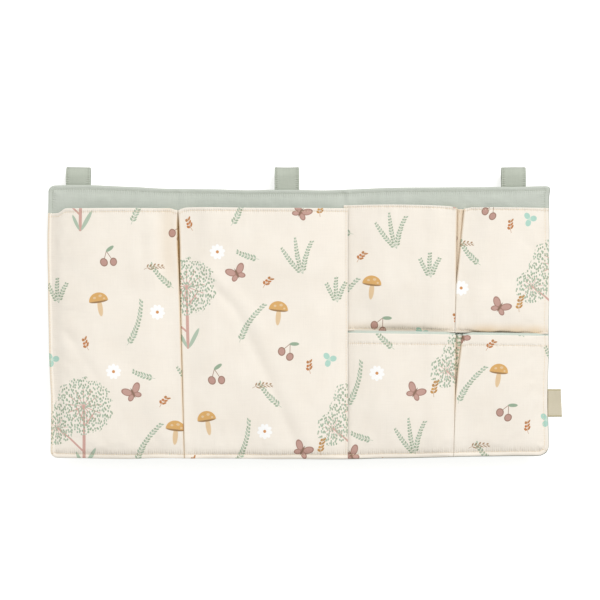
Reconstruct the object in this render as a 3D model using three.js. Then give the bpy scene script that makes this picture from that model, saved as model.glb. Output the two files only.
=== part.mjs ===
// Hanging bedside caddy: a padded cotton panel with three rows of cloth pockets, hung on a rail by
// three straps that close behind the panel with hook and loop tape.
// Millimetres. +X to the right, -Y towards the viewer, +Z up. The rail's axis is the X axis.
import * as THREE from "three";

// Clearance left between two layers of cloth that lie on each other.
const layerGap = 0.3;

// Padded panel: two cotton covers sewn at the rim and turned, with wadding between them.
const panelWidth = 550;
const panelHeight = 300;
const panelCornerRadius = 8;
const coverThickness = 0.6;
const waddingThickness = 3.6;
const rimHalfGap = 0.15;
const rimRollInset = 2;
const rimRollHalf = 0.75;
const topstitchInset = 4.5;
const topstitchHalf = 0.35;
const waddingInset = 9;
const puffInset = 14;
const puffHalf = waddingThickness / 2 + layerGap;
const panelHalf = puffHalf + coverThickness;

// How the hung panel departs from a true rectangle: its top edge dips between the outer straps and
// hangs a little lower at its right corner, and its left edge draws in beside the tall pocket.
const topSag = 5.5;
const topRightDrop = 2.5;
const topSagReach = 34;
const leftTuck = 3.5;
const leftTuckHeight = 40;
const leftTuckReach = 110;
const leftTuckSpread = 60;

// Straps. Each one is sewn to the panel's back, goes over the rail and comes down behind.
const railRadius = 9;
const strapWidth = 27;
const strapThickness = 1.4;
const strapNames = ["left", "middle", "right"];
const leftStrapInset = 32;
const rightStrapInset = 38;
const middleStrapOffset = 13;
const loopRise = 20;
const anchorOverlap = 18;
const tailDrop = 26;
const tailEndMargin = 4;

// Hook and loop tape, one patch of each to a strap.
const tapeWidth = 22;
const tapeLength = 30;
const tapeThickness = 1.2;
const tapeTopDrop = 26;

// Pocket cloth: a printed outer sheet and a plain lining, sewn as one and pleated between pockets.
const printThickness = 0.7;
const liningThickness = 0.5;
const clothSplit = 0.1;
const pleatDepth = 14;
const pleatGap = 0.4;
const topBand = 21;
const pocketMouthDip = 6;
const pocketMouthDipReach = 18;

// Pocket rows: left edge, divider, right edge, foot and mouth, from the panel's top left corner.
const tallDivider = 145;
const rowsDivider = 328;
const smallDivider = 450;
const rowSplit = 162;
const rowSplitGap = 2.6;
const tallPocketDepth = 10;
const smallPocketDepth = 9;
const pleatLift = 2.6;
const sideRise = 16;
const footRise = 30;

// Woven side tag, folded in half, with its cut ends in the right-hand seam.
const tagReach = 15;
const tagHeight = 30.5;
const tagThickness = 0.35;
const tagOpening = 0.5;
const tagRise = 60;

// Counts of facets, not sizes.
const coverColumns = 8;
const coverRows = 4;
const turnSteps = 4;
const bendSteps = 8;
const pocketColumns = 5;

// Places worked out from the sizes above.
const bendRadius = railRadius + layerGap + strapThickness / 2;
const strapTop = bendRadius + strapThickness / 2;
const panelY = -(strapTop + layerGap + panelHalf);
const panelTopZ = strapTop - loopRise;
const halfWidth = panelWidth / 2;
const strapCentres = [leftStrapInset - halfWidth, -middleStrapOffset, halfWidth - rightStrapInset];

// Eases from 0 to 1.
function ease(t) {
  const s = Math.min(1, Math.max(0, t));
  return s * s * (3 - 2 * s);
}

// Height of a cover's inner face above the panel's middle plane, at an inset from the rim.
function coverHalf(inset) {
  if (inset < rimRollInset) {
    return rimHalfGap + (rimRollHalf - rimHalfGap) * ease(inset / rimRollInset);
  }
  if (inset < topstitchInset) {
    const t = (inset - rimRollInset) / (topstitchInset - rimRollInset);
    return rimRollHalf + (topstitchHalf - rimRollHalf) * ease(t);
  }
  const t = (inset - topstitchInset) / (puffInset - topstitchInset);
  return topstitchHalf + (puffHalf - topstitchHalf) * ease(t);
}

// Inset of a point of the panel from its rim. z runs from 0 at the top to -panelHeight.
function insetAt(x, z) {
  return Math.max(0, Math.min(halfWidth - Math.abs(x), -z, panelHeight + z));
}

// Rounds the panel's corners by drawing each corner square in to a quarter disc.
function rounded(x, z) {
  const centreX = halfWidth - panelCornerRadius;
  const centreZ = panelHeight / 2 - panelCornerRadius;
  const across = Math.abs(x) - centreX;
  const along = Math.abs(z + panelHeight / 2) - centreZ;
  if (across <= 0 || along <= 0) {
    return [x, z];
  }
  const draw = Math.max(across, along) / Math.hypot(across, along);
  return [
    Math.sign(x) * (centreX + across * draw),
    Math.sign(z + panelHeight / 2) * (centreZ + along * draw) - panelHeight / 2,
  ];
}

// The hung panel's sag and tuck, as a shift of a point of the flat panel.
function hung(x, z) {
  const across = x / halfWidth;
  const dip = topSag * (1 - across * across) + (topRightDrop * across * (1 + across)) / 2;
  const fromTuck = (z + panelHeight - leftTuckHeight) / leftTuckSpread;
  const nearLeft = ease(1 - (x + halfWidth) / leftTuckReach);
  const tuck = leftTuck * nearLeft * Math.exp(-fromTuck * fromTuck);
  return [x + tuck, z - dip * ease(1 + z / topSagReach)];
}

// A closed body from two faces given as grids of [x, y, z] points, joined round their edges.
function gridSolid(faceA, faceB) {
  const rows = faceA.length;
  const columns = faceA[0].length;
  const positions = [...faceA.flat(), ...faceB.flat()].flat();
  const at = (face, row, column) => face * rows * columns + row * columns + column;
  const triangles = [];
  const quad = (a, b, c, d) => triangles.push(a, b, c, a, c, d);
  for (let row = 0; row + 1 < rows; row += 1) {
    for (let column = 0; column + 1 < columns; column += 1) {
      quad(at(0, row, column), at(0, row, column + 1), at(0, row + 1, column + 1), at(0, row + 1, column));
      quad(at(1, row, column), at(1, row + 1, column), at(1, row + 1, column + 1), at(1, row, column + 1));
    }
    quad(at(0, row, 0), at(0, row + 1, 0), at(1, row + 1, 0), at(1, row, 0));
    quad(at(0, row + 1, columns - 1), at(0, row, columns - 1), at(1, row, columns - 1), at(1, row + 1, columns - 1));
  }
  for (let column = 0; column + 1 < columns; column += 1) {
    quad(at(0, 0, column + 1), at(0, 0, column), at(1, 0, column), at(1, 0, column + 1));
    quad(at(0, rows - 1, column), at(0, rows - 1, column + 1), at(1, rows - 1, column + 1), at(1, rows - 1, column));
  }
  const geometry = new THREE.BufferGeometry();
  geometry.setAttribute("position", new THREE.Float32BufferAttribute(positions, 3));
  geometry.setIndex(triangles);
  geometry.computeVertexNormals();
  return geometry;
}

// Materials of the object.
const cotton = (color) => new THREE.MeshStandardMaterial({ color, roughness: 0.9, metalness: 0 });
const sageCotton = cotton(0xbfc7b8);
const printedCotton = cotton(0xf2e8da);
const whiteWadding = cotton(0xf4f3ee);
const sageTape = cotton(0xb3bcab);
const tagRibbon = cotton(0xcfc5a6);

const caddy = new THREE.Group();
const panel = new THREE.Group();
panel.position.set(0, panelY, panelTopZ);
caddy.add(panel);

function addMesh(parent, name, geometry, material) {
  const mesh = new THREE.Mesh(geometry, material);
  mesh.name = name;
  parent.add(mesh);
  return mesh;
}

// Grid lines across a length, close together at its rims and even in its middle.
function rimmedLines(length, insets, middleCount) {
  const near = insets;
  const far = insets.map((inset) => length - inset).reverse();
  const last = insets[insets.length - 1];
  const span = length - 2 * last;
  const middle = [];
  for (let i = 1; i < middleCount; i += 1) {
    middle.push(last + (span * i) / middleCount);
  }
  return [...near, ...middle, ...far];
}

// One face of a panel layer: the height above the middle plane comes from the inset.
function panelFace(insets, columns, rows, heightAt) {
  const xs = rimmedLines(panelWidth, insets, columns).map((x) => x - halfWidth);
  const zs = rimmedLines(panelHeight, insets, rows).map((z) => -z);
  return zs.map((z) =>
    xs.map((x) => {
      const [roundX, roundZ] = rounded(x, z);
      const [hungX, hungZ] = hung(roundX, roundZ);
      return [hungX, heightAt(insetAt(x, z)), hungZ];
    }),
  );
}

// Front and back covers. Both are thin cotton that follows the wadding's puff.
const coverInsets = [0, rimRollInset, topstitchInset, waddingInset, puffInset];
const frontInner = panelFace(coverInsets, coverColumns, coverRows, (inset) => -coverHalf(inset));
const frontOuter = panelFace(
  coverInsets,
  coverColumns,
  coverRows,
  (inset) => -coverHalf(inset) - coverThickness,
);
addMesh(panel, "front_cover", gridSolid(frontInner, frontOuter), sageCotton);
const backInner = panelFace(coverInsets, coverColumns, coverRows, coverHalf);
const backOuter = panelFace(coverInsets, coverColumns, coverRows, (inset) => coverHalf(inset) + coverThickness);
addMesh(panel, "back_cover", gridSolid(backOuter, backInner), sageCotton);

// Wadding, cut back to the topstitching.
const waddingInsets = [waddingInset, puffInset];
const waddingHalf = (inset) => coverHalf(inset) - layerGap;
const waddingFront = panelFace(waddingInsets, coverColumns, coverRows, (inset) => -waddingHalf(inset));
const waddingBack = panelFace(waddingInsets, coverColumns, coverRows, waddingHalf);
addMesh(panel, "wadding", gridSolid(waddingBack, waddingFront), whiteWadding);

// Heights of the pleated double cloth above the front cover, at the foot of a pocket: the underlay,
// the folded layer and the front layer, with the lining on the inside of every fold.
const printOut = clothSplit + printThickness;
const liningIn = layerGap - clothSplit + liningThickness;
const underlayRest = layerGap + liningIn;
const foldedRest = underlayRest + 2 * printOut + layerGap;
const frontRest = foldedRest + 2 * liningIn + layerGap;

// Half of a row's pleat, as [distance from the divider, height] points from the pocket's front in to
// the divider. out is the face's distance from the cloth's middle, positive on the print's side.
function pleatSection(depth, lift, out) {
  const front = frontRest + pleatLift * lift;
  const folded = foldedRest + (pleatLift / 2) * lift;
  const backFolded = foldedRest + (pleatLift / 4) * lift;
  const open = underlayRest + depth * lift;
  const fold = pleatGap * (1 + lift) + printOut + (front - folded) / 2;
  const back = fold + pleatDepth;
  return [
    [back + sideRise, open + out],
    [back, Math.max(front, (front + open) / 2) + out],
    ...halfTurn(fold, front + out, folded - out, -1),
    ...halfTurn(back, backFolded - out, underlayRest + out, 1),
    [fold, underlayRest + out],
  ];
}

// A half turn of cloth between two heights, its ends included. side is 1 where it bulges away from
// the divider.
function halfTurn(x, from, to, side) {
  const radius = (from - to) / 2;
  const points = [];
  for (let i = 0; i <= turnSteps; i += 1) {
    const angle = (Math.PI * i) / turnSteps;
    points.push([x + side * radius * Math.sin(angle), to + radius + radius * Math.cos(angle)]);
  }
  return points;
}

// Cross-section of one face of a row of two pockets, as [x, height above the front cover] points
// from left to right. lift runs from 0 at the pockets' foot to 1 where they stand open.
function rowSection(row, lift, out) {
  const open = row.depth * lift;
  const side = (x, edge) => [x, underlayRest + open * ease(Math.abs(x - edge) / sideRise) + out];
  const pleat = pleatSection(row.depth, lift, out);
  return [
    ...row.leftLines.map((x) => side(x, row.left)),
    ...pleat.map(([across, height]) => [row.divider - across, height]),
    ...pleat.reverse().map(([across, height]) => [row.divider + across, height]),
    ...row.rightLines.map((x) => side(x, row.right)),
  ];
}

// One face of a row's cloth. Each row of the grid is a level between the foot and the mouth.
function rowFace(row, out) {
  return row.levels.map(({ share, lift }) =>
    rowSection(row, lift, out).map(([x, height]) => {
      const z = row.foot + (row.mouth - mouthDip(row, x) - row.foot) * share;
      const [roundX, roundZ] = rounded(x, z);
      const [hungX, hungZ] = hung(roundX, roundZ);
      const cover = coverHalf(insetAt(x, z)) + coverThickness;
      return [hungX, -(cover + height), hungZ];
    }),
  );
}

// A pocket's mouth drops where the cloth meets the panel's left edge.
function mouthDip(row, x) {
  return row.dips ? pocketMouthDip * ease(1 - (x - row.left) / pocketMouthDipReach) : 0;
}

// Levels of a row, as shares of its height, with how far the pockets stand open at each.
function levelsOf(foot, mouth, heights) {
  const height = mouth - foot;
  return heights.map((above) => ({ share: above / height, lift: ease(above / footRise) }));
}

// Grid lines of the two pocket fronts of a row, outside the pleat between them.
function linesOf(left, right, edgeInsets, count, mirrored) {
  const lines = [];
  const last = edgeInsets[edgeInsets.length - 1];
  for (const inset of edgeInsets) {
    lines.push(mirrored ? right - inset : left + inset);
  }
  for (let i = 1; i < count; i += 1) {
    const along = last + ((right - left - last) * i) / count;
    lines.push(mirrored ? right - along : left + along);
  }
  return mirrored ? lines.reverse() : lines;
}

function makeRow(name, row) {
  const pleatReach = pleatDepth + 2 * sideRise;
  const rimInsets = [0, rimRollInset, topstitchInset, puffInset];
  const seamInsets = [0, topstitchInset, puffInset];
  row.leftLines = linesOf(
    row.left,
    row.divider - pleatReach,
    row.leftAtRim ? rimInsets : seamInsets,
    pocketColumns,
    false,
  );
  row.rightLines = linesOf(
    row.divider + pleatReach,
    row.right,
    row.rightAtRim ? rimInsets : seamInsets,
    pocketColumns,
    true,
  );
  const height = row.mouth - row.foot;
  const footLevels = row.footAtRim ? [0, rimRollInset, topstitchInset, puffInset] : [0, puffInset];
  row.levels = levelsOf(row.foot, row.mouth, [...footLevels, footRise, (footRise + height) / 2, height]);
  const print = gridSolid(rowFace(row, printOut), rowFace(row, clothSplit));
  const lining = gridSolid(rowFace(row, clothSplit - layerGap), rowFace(row, -liningIn));
  addMesh(panel, `${name}_pocket_cloth`, print, printedCotton);
  addMesh(panel, `${name}_pocket_lining`, lining, sageCotton);
}

// Tall row on the left, and the two short rows on the right, one above the other.
makeRow("tall", {
  left: -halfWidth,
  divider: tallDivider - halfWidth,
  right: rowsDivider - halfWidth - layerGap,
  foot: -panelHeight,
  mouth: -topBand,
  depth: tallPocketDepth,
  leftAtRim: true,
  footAtRim: true,
  dips: true,
});
makeRow("upper", {
  left: rowsDivider - halfWidth + layerGap,
  divider: smallDivider - halfWidth,
  right: halfWidth,
  foot: -rowSplit + rowSplitGap / 2,
  mouth: -topBand,
  depth: smallPocketDepth,
  rightAtRim: true,
});
makeRow("lower", {
  left: rowsDivider - halfWidth + layerGap,
  divider: smallDivider - halfWidth,
  right: halfWidth,
  foot: -panelHeight,
  mouth: -rowSplit - rowSplitGap / 2,
  depth: smallPocketDepth,
  rightAtRim: true,
  footAtRim: true,
});

// Outline of a band of cloth of one thickness about a line of [u, v] points.
function bandShape(line, thickness) {
  const edge = (side) =>
    line.map(([u, v], i) => {
      const [beforeU, beforeV] = line[Math.max(0, i - 1)];
      const [afterU, afterV] = line[Math.min(line.length - 1, i + 1)];
      const length = Math.hypot(afterU - beforeU, afterV - beforeV);
      const across = (side * thickness) / 2 / length;
      return new THREE.Vector2(u - (afterV - beforeV) * across, v + (afterU - beforeU) * across);
    });
  return new THREE.Shape([...edge(1), ...edge(-1).reverse()]);
}

// A strap swept along X about a line of [y, z] points.
function strapGeometry(line) {
  const shape = bandShape(line, strapThickness);
  const geometry = new THREE.ExtrudeGeometry(shape, { depth: strapWidth, bevelEnabled: false });
  const toFrame = new THREE.Matrix4().makeBasis(
    new THREE.Vector3(0, 1, 0),
    new THREE.Vector3(0, 0, 1),
    new THREE.Vector3(1, 0, 0),
  );
  return geometry.applyMatrix4(toFrame).translate(-strapWidth / 2, 0, 0);
}

// Places behind the panel, from its back face outwards: loop tape, hook tape, then the strap.
const backFace = panelY + panelHalf;
const loopTapeY = backFace + layerGap + tapeThickness / 2;
const hookTapeY = loopTapeY + tapeThickness + layerGap;
const tailY = hookTapeY + tapeThickness / 2 + layerGap + strapThickness / 2;
const tapeTopZ = panelTopZ - tapeTopDrop;
const tapeZ = tapeTopZ - tapeLength / 2;
const tailEndZ = tapeTopZ - tapeLength - tailEndMargin;

// The strap's line from the panel's back to the top of the rail, and from there down behind.
const anchorLine = [[-bendRadius, panelTopZ - anchorOverlap]];
const tailLine = [];
for (let i = 0; i <= bendSteps; i += 1) {
  const angle = (Math.PI / 2) * (i / bendSteps);
  anchorLine.push([-bendRadius * Math.cos(angle), bendRadius * Math.sin(angle)]);
  tailLine.push([bendRadius * Math.sin(angle), bendRadius * Math.cos(angle)]);
}
anchorLine[anchorLine.length - 1][0] -= layerGap / 2;
tailLine[0][0] += layerGap / 2;
for (let i = 1; i <= bendSteps; i += 1) {
  const t = i / bendSteps;
  tailLine.push([bendRadius + (tailY - bendRadius) * ease(t), -t * (tailDrop + loopRise - strapTop)]);
}
tailLine.push([tailY, tailEndZ]);

strapCentres.forEach((centre, i) => {
  const strap = new THREE.Group();
  strap.position.set(centre, 0, 0);
  caddy.add(strap);
  const name = strapNames[i];
  addMesh(strap, `${name}_strap_anchor`, strapGeometry(anchorLine), sageCotton);
  addMesh(strap, `${name}_strap_tail`, strapGeometry(tailLine), sageCotton);
  const tape = new THREE.BoxGeometry(tapeWidth, tapeThickness, tapeLength);
  addMesh(strap, `${name}_loop_tape`, tape, sageTape).position.set(0, loopTapeY, tapeZ);
  addMesh(strap, `${name}_hook_tape`, tape, sageTape).position.set(0, hookTapeY, tapeZ);
});

// Side tag: a ribbon folded at its outer end, with both ends at the right-hand seam.
const tagHalf = tagOpening / 2 + tagThickness / 2;
const tagLine = [[0, -tagHalf], [tagReach - tagHalf, -tagHalf]];
for (let i = 1; i < turnSteps; i += 1) {
  const angle = Math.PI * (i / turnSteps) - Math.PI / 2;
  tagLine.push([tagReach - tagHalf + tagHalf * Math.cos(angle), tagHalf * Math.sin(angle)]);
}
tagLine.push([tagReach - tagHalf, tagHalf], [0, tagHalf]);
const tag = new THREE.ExtrudeGeometry(bandShape(tagLine, tagThickness), {
  depth: tagHeight,
  bevelEnabled: false,
});
const tagZ = tagRise - panelHeight - tagHeight / 2;
addMesh(panel, "woven_side_tag", tag, tagRibbon).position.set(halfWidth + layerGap, 0, tagZ);

export default caddy;
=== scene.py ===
# Hanging bedside caddy: a padded cotton panel with rows of printed cloth pockets, hung on a rail by
# three strap loops. Lengths are in millimetres until a mesh is made, and then in metres.
import math
import bpy
import numpy as np
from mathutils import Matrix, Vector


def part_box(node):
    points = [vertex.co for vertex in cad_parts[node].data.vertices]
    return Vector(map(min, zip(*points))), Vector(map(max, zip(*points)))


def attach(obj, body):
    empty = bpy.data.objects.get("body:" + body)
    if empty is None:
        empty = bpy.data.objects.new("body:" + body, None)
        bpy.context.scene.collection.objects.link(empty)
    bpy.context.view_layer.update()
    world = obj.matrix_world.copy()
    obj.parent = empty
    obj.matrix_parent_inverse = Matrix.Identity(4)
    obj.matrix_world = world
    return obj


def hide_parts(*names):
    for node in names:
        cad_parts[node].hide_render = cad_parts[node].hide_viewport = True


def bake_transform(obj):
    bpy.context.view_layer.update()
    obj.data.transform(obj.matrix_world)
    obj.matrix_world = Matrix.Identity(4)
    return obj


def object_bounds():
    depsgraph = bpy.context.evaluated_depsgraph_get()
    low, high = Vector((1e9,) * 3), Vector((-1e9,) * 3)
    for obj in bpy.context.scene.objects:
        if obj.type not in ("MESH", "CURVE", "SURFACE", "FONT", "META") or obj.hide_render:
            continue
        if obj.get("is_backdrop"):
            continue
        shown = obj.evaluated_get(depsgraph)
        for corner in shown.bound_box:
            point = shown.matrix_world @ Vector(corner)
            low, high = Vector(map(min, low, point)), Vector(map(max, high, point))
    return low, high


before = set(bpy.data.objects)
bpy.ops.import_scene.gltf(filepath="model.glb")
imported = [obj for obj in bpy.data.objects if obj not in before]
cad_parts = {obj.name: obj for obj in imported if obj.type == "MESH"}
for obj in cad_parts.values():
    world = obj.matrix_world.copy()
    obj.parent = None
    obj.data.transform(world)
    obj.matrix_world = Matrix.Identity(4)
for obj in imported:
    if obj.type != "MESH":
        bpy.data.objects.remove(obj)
cad_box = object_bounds()

# Panel covers: two rounded rectangles of sage plain-woven cotton, sewn face to face round the rim,
# turned, and topstitched. The wadding between them makes the panel puff inside the topstitching.
MM = 0.001
panel_width = 550
panel_height = 300
panel_top = -9.3
panel_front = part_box("front_cover")[0].y / MM
panel_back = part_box("back_cover")[1].y / MM
panel_middle = (panel_front + panel_back) / 2
cover_thickness = 0.6
corner_radii = {(-1, 1): 7, (1, 1): 4, (-1, -1): 8, (1, -1): 12}
rim_half_gap = 0.15
rim_roll_inset, rim_roll_half = 2, 0.75
topstitch_inset, topstitch_half = 4.5, 0.3
puff_inset = 15
puff_half = (panel_back - panel_front) / 2 - cover_thickness
half_width = panel_width / 2


def ease(t):
    """Goes smoothly from 0 to 1 with t, which is mostly a distance over the reach of a change."""
    t = np.clip(t, 0, 1)
    return t * t * (3 - 2 * t)


def blend_four(at, part_a, part_b):
    """A value between four neighbours, which at gives by their step, 0 or 1, along each of two ways."""
    near = at(0, 0) * (1 - part_a) + at(1, 0) * part_a
    far = at(0, 1) * (1 - part_a) + at(1, 1) * part_a
    return near * (1 - part_b) + far * part_b


def ruffle(across, along, seed):
    """Smooth chance waves from -1 to 1, about one to every two units. Each way is a distance over the
    millimetres that such a unit is long, and the seed picks the waves."""
    size = 64
    table = np.random.default_rng(seed).uniform(-1, 1, (size, size))
    low_a, low_b = np.floor(across).astype(int), np.floor(along).astype(int)
    return blend_four(
        lambda step_a, step_b: table[(low_a + step_a) % size, (low_b + step_b) % size],
        ease(across - low_a),
        ease(along - low_b),
    )


def bump_at(distance, reach):
    """A soft bump, 1 high at distance 0."""
    return np.exp(-((distance / reach) ** 2))


def folds_at(x, folds):
    """Folds side by side, each given by its height, its place and its reach to either side."""
    return sum(height * bump_at(x - middle, reach) for height, middle, reach in folds)


def inset_at(x, z):
    """How far a point of the flat panel lies inside its rim."""
    return np.maximum(0, np.minimum(half_width - np.abs(x), np.minimum(-z, panel_height + z)))


top_edge_drop = (
    [-275, -262, -224, -196, -163, -130, -86, -42, 12, 34, 56, 90, 111, 145, 210, 254, 275],
    [1.0, 0.2, 0.4, 2.0, 3.3, 4.3, 4.9, 5.7, 5.9, 5.8, 4.9, 3.6, 2.8, 2.5, 2.4, 1.5, 1.6],
)
bottom_edge_lift = (
    [-275, -250, -190, -163, -130, 34, 90, 145, 200, 254, 275],
    [-0.2, -0.8, -1.4, -0.5, -1.0, -1.3, -0.4, 0.8, 1.9, 2.1, 2.6],
)
sag_reach = 34
lift_reach = 130
# Where a side edge is drawn in, or let out below 0: how far, on which side, over what width, and at
# what height, with its reach up and down.
side_pulls = [(2.7, -1, 110, -260, 60), (-1.3, -1, 60, -80, 55), (-1.2, 1, 30, -238, 34)]
ear_out, ear_width, ear_height = 1.7, 20, 16
side_wobble, edge_wobble, wobble_reach = 0.5, 0.45, 30


def along_edge(x, drawn):
    """A drawn line of [places, values], its corners softened."""
    return sum(np.interp(x + shift, *drawn) for shift in (-12, -4, 4, 12)) / 4


def rounded(x, z, half_x, half_z, radius):
    """Draws the corners of a rectangle about the origin in to a radius."""
    over_x, over_z = np.abs(x) - half_x + radius, np.abs(z) - half_z + radius
    in_corner = (over_x > 0) & (over_z > 0)
    far = np.maximum(np.hypot(over_x, over_z), 1e-6)
    draw = np.where(in_corner, np.maximum(over_x, over_z) / far, 1)
    round_x = np.where(in_corner, np.sign(x) * (half_x - radius + over_x * draw), x)
    round_z = np.where(in_corner, np.sign(z) * (half_z - radius + over_z * draw), z)
    return round_x, round_z


def hang(x, z):
    """Where a point of the flat panel hangs: corners rounded, the top edge sagging between the
    straps, the left edge drawn in low down and the lower right corner drawn up."""
    half_height = panel_height / 2
    up = z + half_height
    right, high = x > 0, up > 0
    corners = [(1, 1), (1, -1), (-1, 1)]
    radius = np.select(
        [right & high, right, high], [corner_radii[corner] for corner in corners], corner_radii[-1, -1]
    )
    round_x, round_up = rounded(x, up, half_width, half_height, radius)
    sag = along_edge(x, top_edge_drop) * ease(1 + z / sag_reach)
    lift = along_edge(x, bottom_edge_lift) * ease((lift_reach - panel_height - z) / lift_reach)
    for pull, side, width, middle, reach in side_pulls:
        round_x = round_x + pull * ease(1 - (half_width - side * x) / width) * bump_at(z - middle, reach)
    ear = ear_out * ease(1 - (half_width - x) / ear_width) * ease(1 + z / ear_height)
    near_side = ease(1 - (half_width - np.abs(x)) / wobble_reach)
    near_edge = ease(1 - (half_height - np.abs(up)) / wobble_reach)
    hung_x = round_x + ear + side_wobble * ruffle(z / 26, x / 60, 3) * near_side
    return hung_x, round_up - half_height - sag + lift + edge_wobble * ruffle(x / 30, z / 60, 4) * near_edge


flat_under_straps, wave_rise = 78, 50
long_wave, short_wave = 1.0, 0.45


def panel_wave(x, z):
    """The panel's slow bends out of its plane. It lies flat where the straps are sewn on."""
    slow = long_wave * ruffle(x / 95 + 3, z / 120, 5) + short_wave * ruffle(x / 42, z / 55, 6)
    return slow * ease((-z - flat_under_straps) / wave_rise)


pad_lines_x = np.linspace(topstitch_inset - half_width, half_width - topstitch_inset, 121)
pad_lines_z = np.linspace(topstitch_inset - panel_height, -topstitch_inset, 66)
pad_rise = {}
wrinkle_cap = 0.6
quick_wrinkle = 0.16
front_seed, back_seed = 11, 21


def blown_pad(x, z, seed):
    """How much a face of the simulated pad stands above or below the plain puff."""
    if seed not in pad_rise:
        return quick_wrinkle * ruffle(x / 16, z / 16, seed + 2) * ease(inset_at(x, z) / 30)
    column, line = (
        np.clip(np.interp(place_on, lines, np.arange(len(lines))), 0, len(lines) - 1.001)
        for place_on, lines in ((x, pad_lines_x), (z, pad_lines_z))
    )
    low_c, low_l = column.astype(int), line.astype(int)
    rise = pad_rise[seed]
    return blend_four(
        lambda step_c, step_l: rise[low_l + step_l, low_c + step_c],
        ease(column - low_c),
        ease(line - low_l),
    )


pucker_depth, pucker_fade, short_pucker = 0.3, 6.5, 0.5


def cover_half(x, z, seed):
    """Half the panel's thickness under a cover: rolled rim, pinched topstitching, then the puff."""
    inset = inset_at(x, z)
    roll = rim_half_gap + (rim_roll_half - rim_half_gap) * np.sqrt(ease(inset / rim_roll_inset))
    pinch = rim_roll_half + (topstitch_half - rim_roll_half) * ease(
        (inset - rim_roll_inset) / (topstitch_inset - rim_roll_inset)
    )
    puff = topstitch_half + (puff_half - topstitch_half) * np.sin(
        np.pi / 2 * np.clip((inset - topstitch_inset) / (puff_inset - topstitch_inset), 0, 1)
    )
    half = np.where(inset < rim_roll_inset, roll, np.where(inset < topstitch_inset, pinch, puff))
    by_side = half_width - np.abs(x) < np.minimum(-z, panel_height + z)
    along = np.where(by_side, z, x)
    pucker = short_pucker * ruffle(along / 3.4, inset / 16, seed) + ruffle(along / 7.5, inset / 22, seed + 1)
    near_stitch = np.exp(-np.abs(inset - topstitch_inset - 2) / pucker_fade) * ease(inset / 3)
    return half + pucker_depth * pucker * near_stitch + blown_pad(x, z, seed)


band_folds = [(1.3, 54.5, 2.2), (-1.2, 49.5, 3), (-1.1, -134, 3.4), (0.7, -128, 4)]
divider_furrow = [(-0.6, 51, 6)]


def front_face(x, z):
    """Height of the front cover's outer face over the panel's middle, with the folds that the
    pocket seams pull into the band above them."""
    in_band = ease(1 + z / 30) * ease(-z / 6)
    height = cover_half(x, z, front_seed) + cover_thickness
    return height + in_band * folds_at(x, band_folds) + ease(-z / 20) * folds_at(x, divider_furrow)


def back_face(x, z):
    return cover_half(x, z, back_seed) + cover_thickness


back_lip, lip_reach, lip_left_share = 0.8, 8, 0.4


def place(x, z, height):
    """Puts a point of the flat panel in the frame, height in front of the panel's middle. The back
    cover rolls a little past the front one along the bottom and the right-hand side."""
    hung_x, hung_z = hang(x, z)
    behind = back_lip * ease(-height / cover_thickness)
    lip_share = lip_left_share + (1 - lip_left_share) * ease((x + 60) / 120)
    hung_z = hung_z - behind * ease((-z - panel_height + lip_reach) / lip_reach) * lip_share
    hung_x = hung_x + behind * ease((x - half_width + lip_reach) / lip_reach)
    y = panel_middle + panel_wave(x, z) - height
    return np.stack([hung_x, y + 0 * hung_x, panel_top + hung_z], axis=-1)


def rim_lines(length, step):
    """Places across a length, close together at both ends where the rim is rolled and stitched."""
    near = np.array([0, 0.25, 0.7, 1.3, 2, 2.8, 3.6, 4.1, 4.5, 4.9, 5.6, 6.6, 8, 9.8, 12, 14.5])
    count = round((length - 2 * near[-1]) / step)
    middle = np.linspace(near[-1], length - near[-1], count + 1)[1:-1]
    return np.concatenate([near, middle, (length - near)[::-1]])


def new_object(name, data):
    """Puts a mesh, lamp or camera into the scene, at the origin."""
    made = bpy.data.objects.new(name, data)
    bpy.context.scene.collection.objects.link(made)
    return made


def sheet_mesh(name, outer, inner, u, v, **marks):
    """A closed sheet of cloth from the grids of its two faces. u and v are where each point lies on
    the flat cloth, and make the mesh's UV map, in metres. marks are kept on its points."""
    lines, columns = outer.shape[:2]
    points = np.concatenate([outer.reshape(-1, 3), inner.reshape(-1, 3)]) * MM
    index = np.arange(lines * columns).reshape(lines, columns)
    quads = np.stack([index[:-1, :-1], index[:-1, 1:], index[1:, 1:], index[1:, :-1]], axis=-1)
    quads = quads.reshape(-1, 4)
    rim = np.concatenate([index[0, :], index[1:, -1], index[-1, -2::-1], index[-2:0:-1, 0]])
    after = np.roll(rim, -1)
    walls = np.stack([after, rim, rim + lines * columns, after + lines * columns], axis=-1)
    faces = np.concatenate([quads, quads[:, ::-1] + lines * columns, walls])
    a, b, c, d = points[faces].transpose(1, 0, 2)
    if np.sum(a * np.cross(b, c)) + np.sum(a * np.cross(c, d)) < 0:
        faces = faces[:, ::-1]
    mesh = bpy.data.meshes.new(name)
    mesh.vertices.add(len(points))
    mesh.vertices.foreach_set("co", points.ravel())
    mesh.loops.add(faces.size)
    mesh.loops.foreach_set("vertex_index", faces.ravel())
    mesh.polygons.add(len(faces))
    mesh.polygons.foreach_set("loop_start", np.arange(0, faces.size, 4))
    mesh.polygons.foreach_set("use_smooth", np.ones(len(faces), bool))
    flat = np.stack([u, v], axis=-1).reshape(-1, 2) * MM
    flat = np.concatenate([flat, flat])
    mesh.uv_layers.new(name="cloth").data.foreach_set("uv", flat[faces.ravel()].ravel())
    for mark, values in marks.items():
        stored = mesh.attributes.new(mark, "FLOAT", "POINT")
        both = np.concatenate([(values + 0 * u).ravel()] * 2)
        stored.data.foreach_set("value", both.astype(np.float32))
    mesh.update(calc_edges=True)
    mesh.validate()
    return new_object(name, mesh)


pad_gap, pad_crown, pad_crown_reach = 0.3, 0.9, 20
seam_slack, seam_fade, wrinkle_reach = 0.1, 4, 42
simulated_frames, smooth_over = 20, 4


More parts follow.
